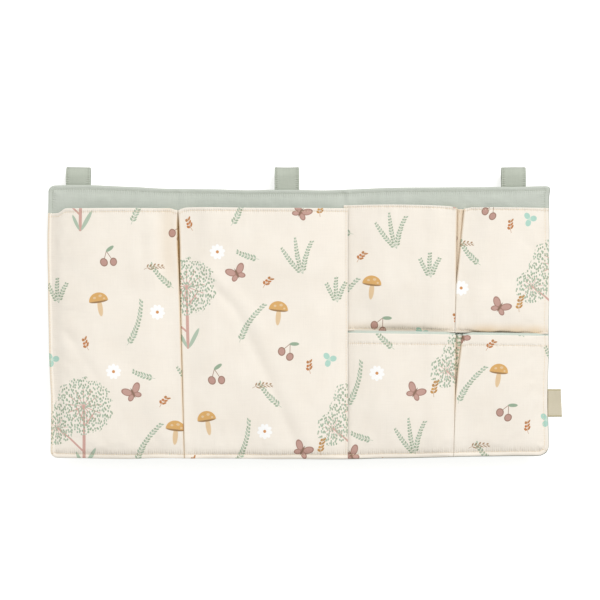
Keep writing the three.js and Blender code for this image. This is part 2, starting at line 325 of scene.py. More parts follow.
def blow_up_pad():
    """Blows the sewn pad up by cloth simulation, held along its topstitching, with a little ease in
    the cloth so that it wrinkles there. Keeps how far each face stands from the plain puff."""
    x, z = np.meshgrid(pad_lines_x, pad_lines_z)
    inset = inset_at(x, z)
    start = pad_crown * ease(inset / pad_crown_reach) + pad_gap
    bag = sheet_mesh("pad", np.stack([x, -start, z], axis=-1), np.stack([x, start, z], axis=-1), x, z)
    on_seam = inset < topstitch_inset + seam_slack
    seam = np.flatnonzero([on_seam, on_seam])
    held = bag.vertex_groups.new(name="topstitching")
    held.add([int(number) for number in seam], 1.0, "REPLACE")
    cloth = bag.modifiers.new("puff", "CLOTH")
    cloth.settings.vertex_group_mass = "topstitching"
    cloth.settings.use_pressure = True
    cloth.settings.uniform_pressure_force = 4
    cloth.settings.effector_weights.gravity = 0
    cloth.settings.shrink_min = -0.02
    cloth.settings.bending_stiffness = 0.05
    cloth.settings.quality = 6
    for step in range(simulated_frames):
        bpy.context.scene.frame_set(step + 1)
    blown = bag.evaluated_get(bpy.context.evaluated_depsgraph_get()).to_mesh()
    points = np.empty(len(blown.vertices) * 3, np.float32)
    blown.vertices.foreach_get("co", points)
    depth = points.reshape(2, *x.shape, 3)[..., 1] / MM
    bpy.data.objects.remove(bag)
    bpy.context.scene.frame_set(1)
    ways = (-smooth_over, 0, smooth_over)
    shifts = [(line, column) for line in ways for column in ways]
    for face, seed in ((-depth[0], front_seed), (depth[1], back_seed)):
        slow = sum(np.roll(face, shift, (0, 1)) for shift in shifts) / len(shifts)
        wrinkles = np.clip(face - slow, -wrinkle_cap, wrinkle_cap)
        seam_shadow = quick_wrinkle + (1 - quick_wrinkle) * ease(1 - inset / wrinkle_reach)
        pad_rise[seed] = wrinkles * seam_shadow * ease((inset - topstitch_inset) / seam_fade)


def math_node(operation, swapped=False):
    """A method that puts a Math node between a wire and what it is reckoned with."""

    def method(wire, *others):
        values = (*others, wire) if swapped else (wire, *others)
        return wire.wires.calc(operation, *values)

    return method


class Wire:
    """A value that runs through a node tree. Reckoning with it adds Math nodes."""

    __add__ = __radd__ = math_node("ADD")
    __sub__, __rsub__ = math_node("SUBTRACT"), math_node("SUBTRACT", swapped=True)
    __mul__ = __rmul__ = math_node("MULTIPLY")
    __truediv__, __rtruediv__ = math_node("DIVIDE"), math_node("DIVIDE", swapped=True)
    __lt__, __gt__ = math_node("LESS_THAN"), math_node("GREATER_THAN")
    __abs__, nearest, sign, sine = (math_node(name) for name in ("ABSOLUTE", "ROUND", "SIGN", "SINE"))
    least, most, angle_over = (math_node(name) for name in ("MINIMUM", "MAXIMUM", "ARCTAN2"))

    def __init__(self, wires, socket):
        self.wires = wires
        self.socket = socket


class Wiring:
    """Adds nodes to one tree and joins them up."""

    def __init__(self, tree):
        self.tree = tree

    def feed(self, node, inputs):
        """Joins wires to a node's sockets, and sets the sockets that get a plain value."""
        for name, value in inputs.items():
            if isinstance(value, Wire):
                self.tree.links.new(value.socket, node.inputs[name])
            else:
                node.inputs[name].default_value = value

    def node(self, kind, inputs, **settings):
        made = self.tree.nodes.new(kind)
        for setting, value in settings.items():
            setattr(made, setting, value)
        self.feed(made, inputs)
        return made

    def out(self, node, output=0):
        return Wire(self, node.outputs[output])

    def add(self, kind, inputs, output=0, **settings):
        return self.out(self.node(kind, inputs, **settings), output)

    def give(self, **results):
        """Joins the results to the group's output, and gives the finished tree."""
        self.feed(self.tree.nodes.new("NodeGroupOutput"), results)
        return self.tree

    def calc(self, operation, *values, clamped=False):
        return self.add("ShaderNodeMath", dict(enumerate(values)), operation=operation, use_clamp=clamped)

    def vector(self, operation, *values, output=0):
        return self.add("ShaderNodeVectorMath", dict(enumerate(values)), output, operation=operation)

    def length(self, vector):
        return self.vector("LENGTH", vector, output=1)

    def turned(self, vector, angle):
        """A vector turned about Z."""
        inputs = {"Vector": vector, "Angle": angle}
        return self.add("ShaderNodeVectorRotate", inputs, rotation_type="Z_AXIS")

    def split(self, vector):
        parts = self.node("ShaderNodeSeparateXYZ", {0: vector})
        return [self.out(parts, part) for part in range(3)]

    def combine(self, x, y, z=0.0):
        return self.add("ShaderNodeCombineXYZ", {0: x, 1: y, 2: z})

    def mix(self, share, first, second, blend="MIX"):
        inputs = {0: share, 6: first, 7: second}
        return self.add("ShaderNodeMix", inputs, 2, data_type="RGBA", blend_type=blend)

    def group(self, tree, inputs):
        return self.node("ShaderNodeGroup", inputs, node_tree=tree)

    def mark(self, name):
        return self.add("ShaderNodeAttribute", {}, "Fac", attribute_name=name)

    def cloth_map(self):
        """Where a point lies on the flat cloth."""
        return self.add("ShaderNodeUVMap", {}, uv_map="cloth")

    def noise(self, vector, scale, detail=2.0, roughness=0.5):
        inputs = {"Vector": vector, "Scale": scale, "Detail": detail, "Roughness": roughness}
        return self.add("ShaderNodeTexNoise", inputs, "Fac")

    def bump(self, height, strength, distance, **under):
        inputs = {"Height": height, "Strength": strength, "Distance": distance}
        return self.add("ShaderNodeBump", inputs | under)


FLOAT, VECTOR, COLOUR = "NodeSocketFloat", "NodeSocketVector", "NodeSocketColor"


def node_group(name, inputs, outputs, kind="ShaderNodeTree"):
    """A node group with named sockets. inputs are (name, socket kind, value) and outputs (name, socket
    kind). Gives the group's wiring, and what comes in by name."""
    tree = bpy.data.node_groups.new(name, kind)
    for socket_name, socket_kind, value in inputs:
        socket = tree.interface.new_socket(socket_name, in_out="INPUT", socket_type=socket_kind)
        if value is not None:
            socket.default_value = value
    for socket_name, socket_kind in outputs:
        tree.interface.new_socket(socket_name, in_out="OUTPUT", socket_type=socket_kind)
    wires = Wiring(tree)
    source = tree.nodes.new("NodeGroupInput")
    return wires, {entry[0]: wires.out(source, entry[0]) for entry in inputs}


def make_weave():
    """Plain weave: warp and weft threads that pass over and under each other, with thicker and
    thinner places along each thread. Height is for bump, Tone darkens the colour between threads."""
    wires, source = node_group(
        "plain_weave",
        [("Vector", VECTOR, None), ("Thread", FLOAT, 0.0005), ("Slub", FLOAT, 0.5)],
        [("Height", FLOAT), ("Tone", FLOAT)],
    )
    size = wires.combine(source["Thread"], source["Thread"], 1.0)
    across, along, _ = wires.split(wires.vector("DIVIDE", source["Vector"], size))
    wave_x, wave_y = ((way * math.pi).sine() for way in (across, along))
    crossing = wave_x * wave_y
    thread = abs(wave_x).most(abs(wave_y))
    slub_length, slub_width = 45.0, 950.0
    crossing_height, crossing_tone, slub_height = 0.3, 0.04, 2.2
    ways = [(slub_length, slub_width, 1.0), (slub_width, slub_length, 1.0)]
    slubs = [wires.noise(wires.vector("MULTIPLY", source["Vector"], way), 1.0) for way in ways]
    uneven = (slubs[0] + slubs[1] - 1.0) * source["Slub"]
    return wires.give(
        Height=crossing * crossing_height + thread + uneven * slub_height,
        Tone=crossing * crossing_tone + uneven,
    )


def make_gathers():
    """The small folds that a row of stitches pulls into cloth, drawn across the row. Across is how strongly
    rows along the cloth pull, Up how strongly rows up the cloth do. Tone is the depth of the folds' valleys,
    which the cloth's material paints as shade."""
    wires, source = node_group(
        "stitch_gathers",
        [("Vector", VECTOR, None), ("Across", FLOAT, 0.0), ("Up", FLOAT, 0.0)],
        [("Height", FLOAT), ("Tone", FLOAT)],
    )
    across, up, _ = wires.split(source["Vector"])
    tuck_turns, uneven_turns, tuck_height = 2732.0, 1.6, 0.75
    aside_change, along_change, chance_gain, uneven_height = 45.0, 210.0, 3.4, 0.45
    folds = []
    for pull, along, aside in ((source["Across"], across, up), (source["Up"], up, across)):
        inputs = {"W": aside * aside_change + along * along_change, "Scale": 1.0, "Detail": 2.0}
        chance = wires.add("ShaderNodeTexNoise", inputs, "Fac", noise_dimensions="1D")
        uneven = (chance - 0.5) * chance_gain
        tuck = (along * tuck_turns + uneven * uneven_turns).sine() * tuck_height
        folds.append((uneven * uneven_height + tuck) * pull)
    height = folds[0] + folds[1]
    return wires.give(Height=height, Tone=height.least(0.0))


weave_group = make_weave()
gather_group = make_gathers()
blow_up_pad()


def linear(hex_colour):
    """A colour written as on screen, as the numbers that a shader takes."""
    channels = [int(hex_colour[i : i + 2], 16) / 255 for i in (1, 3, 5)]
    return [((c + 0.055) / 1.055) ** 2.4 if c > 0.04045 else c / 12.92 for c in channels] + [1.0]


def new_material(name):
    """A material with its wiring and its shader."""
    material = bpy.data.materials.new(name)
    material.use_nodes = True
    return material, Wiring(material.node_tree), material.node_tree.nodes["Principled BSDF"]


weave_shade, fold_shade, weave_gloss = 0.16, 0.24, 0.1
gather_depth, weave_depth_share = 0.0004, 0.3


def cotton_material(name, roughness, bump, thread, slub, fold_shade_colour, colour_of):
    """Matt woven cotton. colour_of draws the cloth's colour from its flat coordinates, and the fold colour is
    multiplied into it as painted shade in the small folds at the seams."""
    material, wires, shader = new_material(name)
    flat = wires.cloth_map()
    weave = wires.group(weave_group, {"Vector": flat, "Thread": thread, "Slub": slub})
    pulls = {"Across": wires.mark("gather_across"), "Up": wires.mark("gather_up")}
    gather = wires.group(gather_group, {"Vector": flat} | pulls)
    weave_tone = wires.out(weave, "Tone")
    tone = weave_tone * weave_shade + 1.0
    cloth = wires.mix(1.0, colour_of(wires, flat), wires.combine(tone, tone, tone), "MULTIPLY")
    # Painted shade: the gathers' valleys darken the colour towards the fold colour.
    painted_fold_shade = wires.out(gather, "Tone") * -fold_shade
    folds = wires.bump(wires.out(gather, "Height"), 1.0, gather_depth)
    relief = wires.bump(wires.out(weave, "Height"), bump, thread * weave_depth_share, Normal=folds)
    wires.feed(shader, {
        "Base Color": wires.mix(painted_fold_shade, cloth, linear(fold_shade_colour), "MULTIPLY"),
        "Roughness": weave_tone * weave_gloss + roughness,
        "Normal": relief,
        "Specular IOR Level": 0.25,
        "Sheen Weight": 0.12,
        "Sheen Roughness": 0.6,
    })
    return material


broad_patch_share = 0.65


def sage_dye(wires, flat):
    """Piece-dyed sage: nearly even, with slightly paler and greyer patches."""
    broad, small = wires.noise(flat, 14.0, 3.0), wires.noise(flat, 90.0)
    share = broad * broad_patch_share + small * (1 - broad_patch_share)
    return wires.mix(share, linear("#b9c0b5"), linear("#c9cec6"))


# The fold colour is the painted shade in the small folds at the seams.
sage_weave = {"roughness": 0.88, "bump": 0.5, "thread": 0.0005, "fold_shade_colour": "#b9bca8"}
sage_cotton = cotton_material("sage cotton", colour_of=sage_dye, slub=0.9, **sage_weave)

cover_step = 2.2
cover_x, cover_z = np.meshgrid(
    rim_lines(panel_width, cover_step) - half_width, -rim_lines(panel_height, cover_step)
)


pull_onset, pull_rise = 0.64, 0.8


def pull_of(distance, reach):
    """How strongly a row of stitches gathers the cloth at a distance from it. The pull sets in just
    before the row."""
    return ease((distance + pull_onset) / pull_rise) * ease(1 - distance / reach)


topstitch_pull, topstitch_pull_reach = 0.45, 7
from_edge = np.minimum(-cover_z, panel_height + cover_z) - topstitch_inset
from_side = half_width - np.abs(cover_x) - topstitch_inset
cover_pull = {
    "gather_across": topstitch_pull * pull_of(from_edge, topstitch_pull_reach),
    "gather_up": topstitch_pull * pull_of(from_side, topstitch_pull_reach),
}


def place_piece(piece, body, node=None, material=None):
    """Lets a finished piece ride on its body, and hides the CAD node that it stands for."""
    if material:
        piece.data.materials.append(material)
    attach(piece, body)
    if node:
        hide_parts(node)


for node, side, face in (("front_cover", 1, front_face), ("back_cover", -1, back_face)):
    outer = face(cover_x, cover_z)
    cover = sheet_mesh(
        f"{node}_cloth",
        place(cover_x, cover_z, side * outer),
        place(cover_x, cover_z, side * (outer - cover_thickness)),
        cover_x,
        cover_z,
        **cover_pull,
    )
    place_piece(cover, "panel", node, sage_cotton)

# Wadding: one sheet of soft white polyester fibre inside the covers. It is cut a little smaller than
# the topstitching, which holds it all round, and it fills no wrinkle of the covers.
wadding_inset = 8.5
wadding_clearance = 0.25
pad_x, pad_z = np.meshgrid(
    np.linspace(wadding_inset - half_width, half_width - wadding_inset, 220),
    -np.linspace(wadding_inset, panel_height - wadding_inset, 120),
)


def lowest_near(height):
    """The lowest height among each point's neighbours."""
    edged = np.pad(height, 1, mode="edge")
    lines, columns = height.shape
    return np.min([edged[i : i + lines, j : j + columns] for i in range(3) for j in range(3)], axis=0)


cover_and_gap = cover_thickness + wadding_clearance
pad_front, pad_back = (
    lowest_near(face(pad_x, pad_z)) - cover_and_gap for face in (front_face, back_face)
)
wadding = sheet_mesh(
    "wadding_pad", place(pad_x, pad_z, pad_front), place(pad_x, pad_z, -pad_back), pad_x, pad_z
)


def fibre_material():
    """Soft tufts of fibre."""
    material, wires, shader = new_material("wadding fibre")
    where = wires.add("ShaderNodeTexCoord", {}, "Object")
    tufts = wires.noise(where, 220.0, 6.0, 0.7)
    wires.feed(shader, {
        "Base Color": wires.mix(tufts, linear("#e9e7e0"), linear("#fbfaf6")),
        "Roughness": tufts * 0.1 + 0.88,
        "Normal": wires.bump(tufts, 0.6, 0.001),
    })
    return material


place_piece(wadding, "panel", "wadding", fibre_material())

# Printed cotton: cream plain-woven cotton with a scattered meadow print that repeats in a half drop.
# The print is drawn on the flat cloth, so folds and seams cut it as they cut the real one.
repeat_width, repeat_height = 190, 260
ink_edge = 0.35


def ink(inside):
    """Turns a distance inside an outline, in millimetres, into how much ink lies there."""
    return inside.wires.calc("MULTIPLY_ADD", inside, 1 / ink_edge, 0.5, clamped=True)


def either(*shares):
    """The most of several shares of ink, or of several distances inside."""
    highest = shares[0]
    for share in shares[1:]:
        highest = highest.most(share)
    return highest


def motif_group(name, inks, sizes=()):
    """A motif's group: where on the flat cloth, the colour printed so far, its inks and its sizes."""
    inputs = [("Vector", VECTOR, None), ("Ground", COLOUR, None)]
    inputs += [(ink_name, COLOUR, linear(colour)) for ink_name, colour in inks.items()]
    inputs += [(size_name, FLOAT, size) for size_name, size in dict(sizes).items()]
    return node_group(name, inputs, [("Color", COLOUR)])


def printed(wires, ground, *layers):
    """Prints layers of (how much ink, its colour) one over the other, and gives the finished group."""
    colour = ground
    for share, ink_colour in layers:
        colour = wires.mix(share, colour, ink_colour)
    return wires.give(Color=colour)


def ellipse(vector, centre, radii, turn=0.0):
    """Distance inside an ellipse."""
    wires = vector.wires
    local = wires.vector("SUBTRACT", vector, (*centre, 0))
    if turn:
        local = wires.turned(local, -turn)
    return (1.0 - wires.length(wires.vector("DIVIDE", local, (*radii, 1)))) * min(radii)


def stroke(vector, start, end, half):
    """Distance inside a straight stroke of the pen."""
    wires = vector.wires
    run = np.subtract(end, start)
    local = wires.vector("SUBTRACT", vector, (*start, 0))
    along = wires.vector("DOT_PRODUCT", local, (*(run / (run @ run)), 0), output=1)
    share = wires.add("ShaderNodeClamp", {0: along})
    foot = wires.add("ShaderNodeVectorMath", {0: (*run, 0), "Scale": share}, operation="SCALE")
    return half - wires.length(wires.vector("SUBTRACT", local, foot))


def make_frond():
    """A leafy spray: leaves in pairs along a bending stem, or a fan of such stems from one root."""
    wires, source = motif_group(
        "print_frond",
        {"Leaf": "#8fa388", "Stem": "#a9bda8"},
        {"Pairs": 8.0, "Spacing": 4.2, "Leaf length": 2.6, "Leaf width": 1.15, "Bend": 0.006, "Fan": 0.0},
    )
    slope, fan_step = math.radians(42), math.radians(27)
    stem_half, leaf_stalk, fewer_on_side_stems = 0.22, 0.7, 1.5
    foot_size, tip_loss, least_size, size_spread = 1.1, 0.45, 0.8, 0.4
    x, y, _ = wires.split(source["Vector"])
    branch = (x.angle_over(y) / fan_step).nearest().least(source["Fan"]).most(source["Fan"] * -1.0)
    x, y, _ = wires.split(wires.turned(source["Vector"], branch * fan_step))
    x = x - source["Bend"] * (y * y)
    side = abs(x)
    climb = side * (-1 / math.tan(slope)) + y
    number = (climb / source["Spacing"]).nearest()
    rest = climb - number * source["Spacing"]
    cell = {"Vector": wires.combine(number, x.sign(), branch)}
    chance = wires.add("ShaderNodeTexWhiteNoise", cell, "Value", noise_dimensions="3D")
    pairs = source["Pairs"] - abs(branch) * fewer_on_side_stems
    taper = number / pairs * -tip_loss + foot_size
    half = source["Leaf length"] * taper * (chance * size_spread + least_size)
    along = (side * (1 / math.sin(slope)) + rest * math.cos(slope) - (half + leaf_stalk)) / half
    lens = source["Leaf width"] * (1.0 - along * along) - abs(rest * math.sin(slope))
    leaf = ink(lens) * ((number > 0.5) * (number < pairs))
    stem = ink(stem_half - side) * ((y > 0.0) * (y < source["Spacing"] * pairs))
    tint = wires.mix(chance, source["Leaf"], source["Stem"])
    return printed(wires, source["Ground"], (stem, source["Stem"]), (leaf, tint))


def make_globe_flower():
    """Two round seed heads of many small leaves on thin rays, on branching stalks with two blades."""
    wires, source = motif_group(
        "print_globe_flower", {"Head": "#8fa388", "Head light": "#abbfab", "Stalk": "#cda197"}
    )
    vector = source["Vector"]
    heads = [
        wires.vector("DIVIDE", wires.vector("SUBTRACT", vector, (x, y, 0)), (radius, radius, 1))
        for x, y, radius in ((0, 66, 32), (-30, 42, 19))
    ]
    reaches = [wires.length(head) for head in heads]
    local = wires.mix(reaches[1] < reaches[0], *heads)
    reach = reaches[0].least(reaches[1])
    leaf_stretch, leaves_to_a_millimetre, leaf_radius, leaf_edge = 0.68, 0.42, 0.36, 3.0
    rim_ruffle, least_rim, rim_edge = 0.5, 0.72, 12.0
    leaf_map = {
        "Vector": wires.vector("MULTIPLY", vector, (1.0, leaf_stretch, 1)),
        "Scale": leaves_to_a_millimetre,
    }
    cells = wires.node("ShaderNodeTexVoronoi", leaf_map, voronoi_dimensions="2D")
    ragged = wires.noise(vector, 0.13, 1.0) * rim_ruffle + least_rim
    dots = ink((leaf_radius - wires.out(cells, "Distance")) * leaf_edge)
    inside = ink((ragged - reach) * rim_edge)
    x, y, _ = wires.split(local)
    ray_count, ray_reach, ray_half, ray_edge = 13, 0.62, 0.3, 11.0
    turn = x.angle_over(y) / (2 * math.pi / ray_count)
    off_ray = abs(turn - turn.nearest())
    rays = ink(ray_half - off_ray * reach * ray_edge) * (reach < ray_reach)
    strokes = [
        ((0, 0), (0, 34), 1.7), ((0, 30), (0, 66), 1.1), ((0, 16), (-16, 31), 1.0),
        ((-16, 31), (-30, 42), 0.8), ((0, 44), (12, 60), 0.7), ((0, 50), (-9, 66), 0.7),
    ]
    stalk = either(*[ink(stroke(vector, *line)) for line in strokes], rays)
    blade_sizes = [((7, 10), (2.2, 12), -0.5), ((-5, 8), (1.8, 9), 0.45)]
    blades = either(*[ink(ellipse(vector, *sizes)) for sizes in blade_sizes])
    leaf = wires.mix(wires.split(wires.out(cells, "Color"))[0], source["Head"], source["Head light"])
    return printed(
        wires, source["Ground"],
        (stalk, source["Stalk"]), (blades, source["Head light"]), (dots * inside, leaf),
    )


def make_toadstool():
    """A spotted cap over its gills, on a stout stem."""
    wires, source = motif_group("print_toadstool", {"Cap": "#d6a55c", "Gills": "#96703f", "Stem": "#e0c298"})
    vector = source["Vector"]
    brim = 12.5
    cap = ink(ellipse(vector, (0, brim), (10.5, 9.5))) * ink(wires.split(vector)[1] - brim)
    gills = ink(ellipse(vector, (0, brim), (10.2, 2.0)))
    stem = ink(ellipse(vector, (0.6, 5), (2.8, 9.5)))
    spot_sizes = [((-4, 16.5), (1.6, 1.2)), ((2.5, 18), (1.9, 1.4)), ((6.4, 14.6), (1.2, 1.0))]
    spots = either(*[ink(ellipse(vector, *sizes)) for sizes in spot_sizes])
    return printed(
        wires, source["Ground"],
        (stem, source["Stem"]), (gills, source["Gills"]), (cap, source["Cap"]), (spots * cap, source["Stem"]),
    )


def make_butterfly():
    """Two pairs of rimmed wings, drawn once and mirrored, and a thin body."""
    wires, source = motif_group(
        "print_butterfly", {"Wing": "#bf968b", "Wing edge": "#a07568", "Body": "#80604b"}
    )
    x, y, _ = wires.split(source["Vector"])
    folded = wires.combine(abs(x), y)
    wing = either(
        ellipse(folded, (5.6, 3.6), (6.4, 3.9), 0.75), ellipse(folded, (4.0, -3.6), (4.4, 3.0), -0.6)
    )
    body = ellipse(folded, (0, 0), (0.9, 5.6))
    wing_rim = 0.9
    return printed(
        wires, source["Ground"],
        (ink(wing), source["Wing edge"]), (ink(wing - wing_rim), source["Wing"]), (ink(body), source["Body"]),
    )


def make_daisy():
    """Petals round an eye. With three petals it is a clover."""
    wires, source = motif_group(
        "print_daisy", {"Petal": "#fbfcfc", "Eye": "#cf8c4c"}, {"Petals": 9.0, "Petal width": 2.3}
    )
    petal_middle, petal_half, eye_radius = 4.6, 3.9, 1.7
    x, y, _ = wires.split(source["Vector"])
    step = 2 * math.pi / source["Petals"]
    turn = (x.angle_over(y) / step).nearest() * step
    across, along, _ = wires.split(wires.turned(source["Vector"], turn))
    petal = wires.combine(across / source["Petal width"], (along - petal_middle) / petal_half)
    petal = (1.0 - wires.length(petal)) * source["Petal width"]
    eye = ellipse(source["Vector"], (0, 0), (eye_radius, eye_radius))
    return printed(wires, source["Ground"], (ink(petal), source["Petal"]), (ink(eye), source["Eye"]))


def make_berries():
    """A pair of plump berries under a leaf."""
    wires, source = motif_group("print_berries", {"Fruit": "#b98f84", "Shade": "#95705f", "Leaf": "#8fa88f"})
    vector = source["Vector"]
    stems = either(*[ink(stroke(vector, root, (1, 10), 0.35)) for root in ((-5, 0), (5, -2))])
    fruit = either(
        ellipse(vector, (-5, -1), (4.2, 4.8), 0.3), ellipse(vector, (5.4, -3.4), (4.0, 4.6), -0.3)
    )
    leaf = ellipse(vector, (5.5, 11.5), (5.2, 2.0), 0.35)
    fruit_rim = 1.0
    return printed(
        wires, source["Ground"],
        (stems, source["Shade"]), (ink(leaf), source["Leaf"]),
        (ink(fruit), source["Shade"]), (ink(fruit - fruit_rim), source["Fruit"]),
    )


motifs = {
    "frond": make_frond(),
    "globe_flower": make_globe_flower(),
    "toadstool": make_toadstool(),
    "butterfly": make_butterfly(),
    "daisy": make_daisy(),
    "berries": make_berries(),
}
rust_inks = {"Leaf": "#c26c1c", "Stem": "#b5783c"}
ochre_inks = {"Leaf": "#d09a48", "Stem": "#b07f42"}
brown_inks = {"Leaf": "#966f48", "Stem": "#a5835f"}
clover_inks = {"Petal": "#a9d3c5", "Eye": "#c3ddcf"}
large_frond = {"Pairs": 15, "Spacing": 3.3, "Leaf length": 2.1, "Leaf width": 1.05}
fanned_frond = {"Pairs": 13, "Spacing": 3.1, "Leaf length": 1.9, "Leaf width": 1.0, "Fan": 1}
small_frond = {"Pairs": 4, "Spacing": 3.6, "Leaf length": 2.3, "Leaf width": 1.5, "Bend": 0.02}

# Motif, place in the repeat, turn in degrees, inks and sizes. Places are shares of the repeat.
print_layout_share = [
    ("globe_flower", (0.26, 0.05), 0, {}, {}),
    ("frond", (0.56, 0.07), -18, {}, large_frond),
    ("frond", (0.93, 0.36), 24, {}, fanned_frond),
    ("frond", (0.52, 0.56), -40, {}, large_frond | {"Bend": -0.008}),
    ("frond", (0.13, 0.74), 12, {}, fanned_frond | {"Pairs": 9}),
    ("frond", (0.80, 0.80), 55, {}, large_frond | {"Pairs": 11}),
    ("frond", (0.68, 0.42), 80, {}, large_frond | {"Pairs": 8}),
    ("toadstool", (0.78, 0.16), -6, {}, {}),
    ("toadstool", (0.37, 0.70), 8, {}, {}),
    ("butterfly", (0.55, 0.36), 25, {}, {}),
    ("butterfly", (0.92, 0.62), -30, {}, {}),
    ("berries", (0.42, 0.92), 15, {}, {}),
    ("berries", (0.83, 0.03), -20, {}, {}),
    ("frond", (0.70, 0.30), -25, rust_inks, small_frond),
    ("frond", (0.30, 0.54), 35, rust_inks, small_frond),
    ("frond", (0.03, 0.10), 10, ochre_inks, small_frond | {"Pairs": 5}),
    ("frond", (0.63, 0.88), -60, brown_inks, small_frond | {"Pairs": 6, "Leaf width": 0.7}),
    ("frond", (0.97, 0.94), 20, rust_inks, small_frond),
    ("daisy", (0.44, 0.45), 0, {}, {}),
    ("daisy", (0.70, 0.70), 20, {}, {}),
    ("daisy", (0.08, 0.50), 40, clover_inks, {"Petals": 3, "Petal width": 3.2}),
]


def make_meadow_print():
    """The whole print. Each motif is moved to its place in a repeat whose columns drop by half."""
    wires, source = node_group(
        "meadow_print", [("Vector", VECTOR, None), ("Ground", COLOUR, None)], [("Color", COLOUR)]
    )
    x, y, _ = wires.split(source["Vector"])
    column = x / (repeat_width * MM)
    in_repeat = wires.combine(column, y / (repeat_height * MM) - column * 0.5)
    colour = source["Ground"]
    for motif, (share_x, share_y), degrees, inks, sizes in print_layout_share:
        away = wires.vector("SUBTRACT", in_repeat, (share_x, share_y - share_x / 2, 0))
        away = wires.vector("WRAP", away, (0.5, 0.5, 0.5), (-0.5, -0.5, -0.5))
        c, s = math.cos(math.radians(degrees)), math.sin(math.radians(degrees))
        to_millimetres = [
            (repeat_width * c + repeat_height / 2 * s, repeat_height * s, 0),
            (repeat_height / 2 * c - repeat_width * s, repeat_height * c, 0),
        ]
        local = wires.combine(*[wires.vector("DOT_PRODUCT", away, way, output=1) for way in to_millimetres])
        ink_colours = {ink_name: linear(value) for ink_name, value in inks.items()}
        node = wires.group(motifs[motif], {"Vector": local, "Ground": colour} | ink_colours | sizes)
        colour = wires.out(node, "Color")
    return wires.give(Color=colour)


meadow_print = make_meadow_print()
thin_ink = 0.12


def printed_dye(wires, flat):
    """Unbleached cream ground with the print on it, the ink a little uneven, and a warm painted shade
    multiplied in by the strip's shade mark.
    """
    ground = wires.mix(wires.noise(flat, 38.0, 4.0), linear("#eee6da"), linear("#f3ede3"))
    node = wires.group(meadow_print, {"Vector": flat, "Ground": ground})
    inked = wires.mix(wires.noise(flat, 700.0) * thin_ink, wires.out(node, "Color"), ground)
    # Painted shade: a warm tan, multiplied in as far as the strip's shade mark reaches.
    return wires.mix(wires.mark("painted_shade"), inked, linear("#dcb566"), "MULTIPLY")


# Its fold colour is the painted shade in the small folds at the seams.
printed_cotton = cotton_material(
    "printed cotton", colour_of=printed_dye, roughness=0.86, bump=0.35, thread=0.00045, slub=0.35,
    fold_shade_colour="#cbb38a",
)

# Pocket rows: each is one strip of printed cotton and one of plain lining, sewn together at the
# mouth and laid in an inverted box pleat between its two pockets. The sides and foot are sewn down.
print_out, print_in = 0.8, 0.15
lining_out, lining_in = -0.15, -0.65
underlay_height = 1.0
folded_clearance, front_clearance = 0.3, 0.4
folded_height = underlay_height + 2 * print_out + folded_clearance
front_height = folded_height + 2 * abs(lining_in) + front_clearance
front_lift, folded_lift = 1.4, 0.7
pleat_depth = 14
pocket_step = 2.2
turn_degrees = [3, 12, 30, 60, 90, 120, 150, 168, 177]
layer_points, under_points = 6, 12
fold_reach = 38
bulge_from, flat_side = 0.35, 4
under_crowding = 1.5
puff_centre, puff_reach = 2.4, 2.6
open_gap = 6


def strip_section(row, above):
    """A strip's cloth at one height above its foot, from its left edge to its right edge: x, height
    over the cover, distance from the pleat's fold, and share of the way in to the underlay."""
    share = above / row["height"]
    divider = row["divider"] + float(np.interp(share, [0, 1], row["divider_drift"]))
    turn = np.radians(turn_degrees)
    fold_round = float(np.interp(share, *row["fold_round"]))
    turn_out = np.sin(turn) ** fold_round
    turn_up = np.sign(np.cos(turn)) * np.abs(np.cos(turn)) ** fold_round
    opening = sum(float(np.interp(share, *row[line])) for line in ("left_gap", "right_gap"))
    puff = row["underlay_puff"] * min(1, opening / open_gap)
    hidden = 2 * len(turn_degrees) + layer_points + under_points
    halves = []
    for side, edge, gap_line in ((-1, row["left"], row["left_gap"]), (1, row["right"], row["right_gap"])):
        first_share, first_rise = row["foot_first"][side]
        later = (1 - first_share) * ease(above / row["foot_rise"][side])
        lift = float(first_share * ease(above / first_rise) + later)
        front = front_height + front_lift * lift
        folded = folded_height + folded_lift * lift
        radius = (front - folded) / 2
        fold = float(np.interp(share, *gap_line)) + print_out + radius
        reach = abs(edge - divider)
        flat = fold + row["lines"][side] * (reach - fold)
        away = flat - fold
        open_more = row["mouth_bulge"] * ease((share - bulge_from) / (1 - bulge_from))
        rise = np.sin(np.pi / 2 * np.clip((reach - flat - flat_side) / row["side_rise"][side], 0, 1))
        dome = (row["bulge"][side] * lift + open_more) * rise
        low = row["edge_height"][side]
        height = low + (front - low) * ease(1 - away / fold_reach) + dome * ease(away / row["fold_ease"])
        back = fold + pleat_depth
        back_radius = (folded - underlay_height) / 2
        layer = np.linspace(fold, back, layer_points)
        under = back * np.linspace(1, 0, under_points + 1)[:-1] ** under_crowding
        out = np.concatenate([flat, fold - radius * turn_out, layer, back + back_radius * turn_out, under])
        up = np.concatenate([
            height,
            folded + radius + radius * turn_up,
            0 * layer + folded,
            underlay_height + back_radius + back_radius * turn_up,
            underlay_height + puff * bump_at(side * under - puff_centre, puff_reach),
        ])
        away = np.concatenate([away, np.zeros(hidden)])
        inward = np.concatenate([0 * flat, np.linspace(0.05, 1, hidden)])
        halves.append((divider + side * out, up, away, inward))
    middle = (divider, underlay_height + puff * bump_at(puff_centre, puff_reach), 0, 1)
    left, right = halves
    return [np.concatenate([a, [m], b[::-1]]) for a, m, b in zip(left, middle, right)]


# The last of these is how much shadow is painted under a pocket that hangs over its foot.
hem_tuck, stitch_dent, overhang_shade = 0.4, 0.5, 0.12
broad_crease, small_crease, short_tuck, low_crease_share = 0.9, 0.3, 0.5, 0.35
dip_width, dip_rise, droop_reach, hang_uneven = 20, 9.5, 30, 0.4
hem_gather, hem_gather_reach, foot_gather, side_gather = 0.7, 3.5, 0.75, 0.15
# The second of these is how quickly painted shade sets in inside a pleat.
underlay_from, pleat_shade_rise = 0.6, 4
edge_roll_reach = 1.6


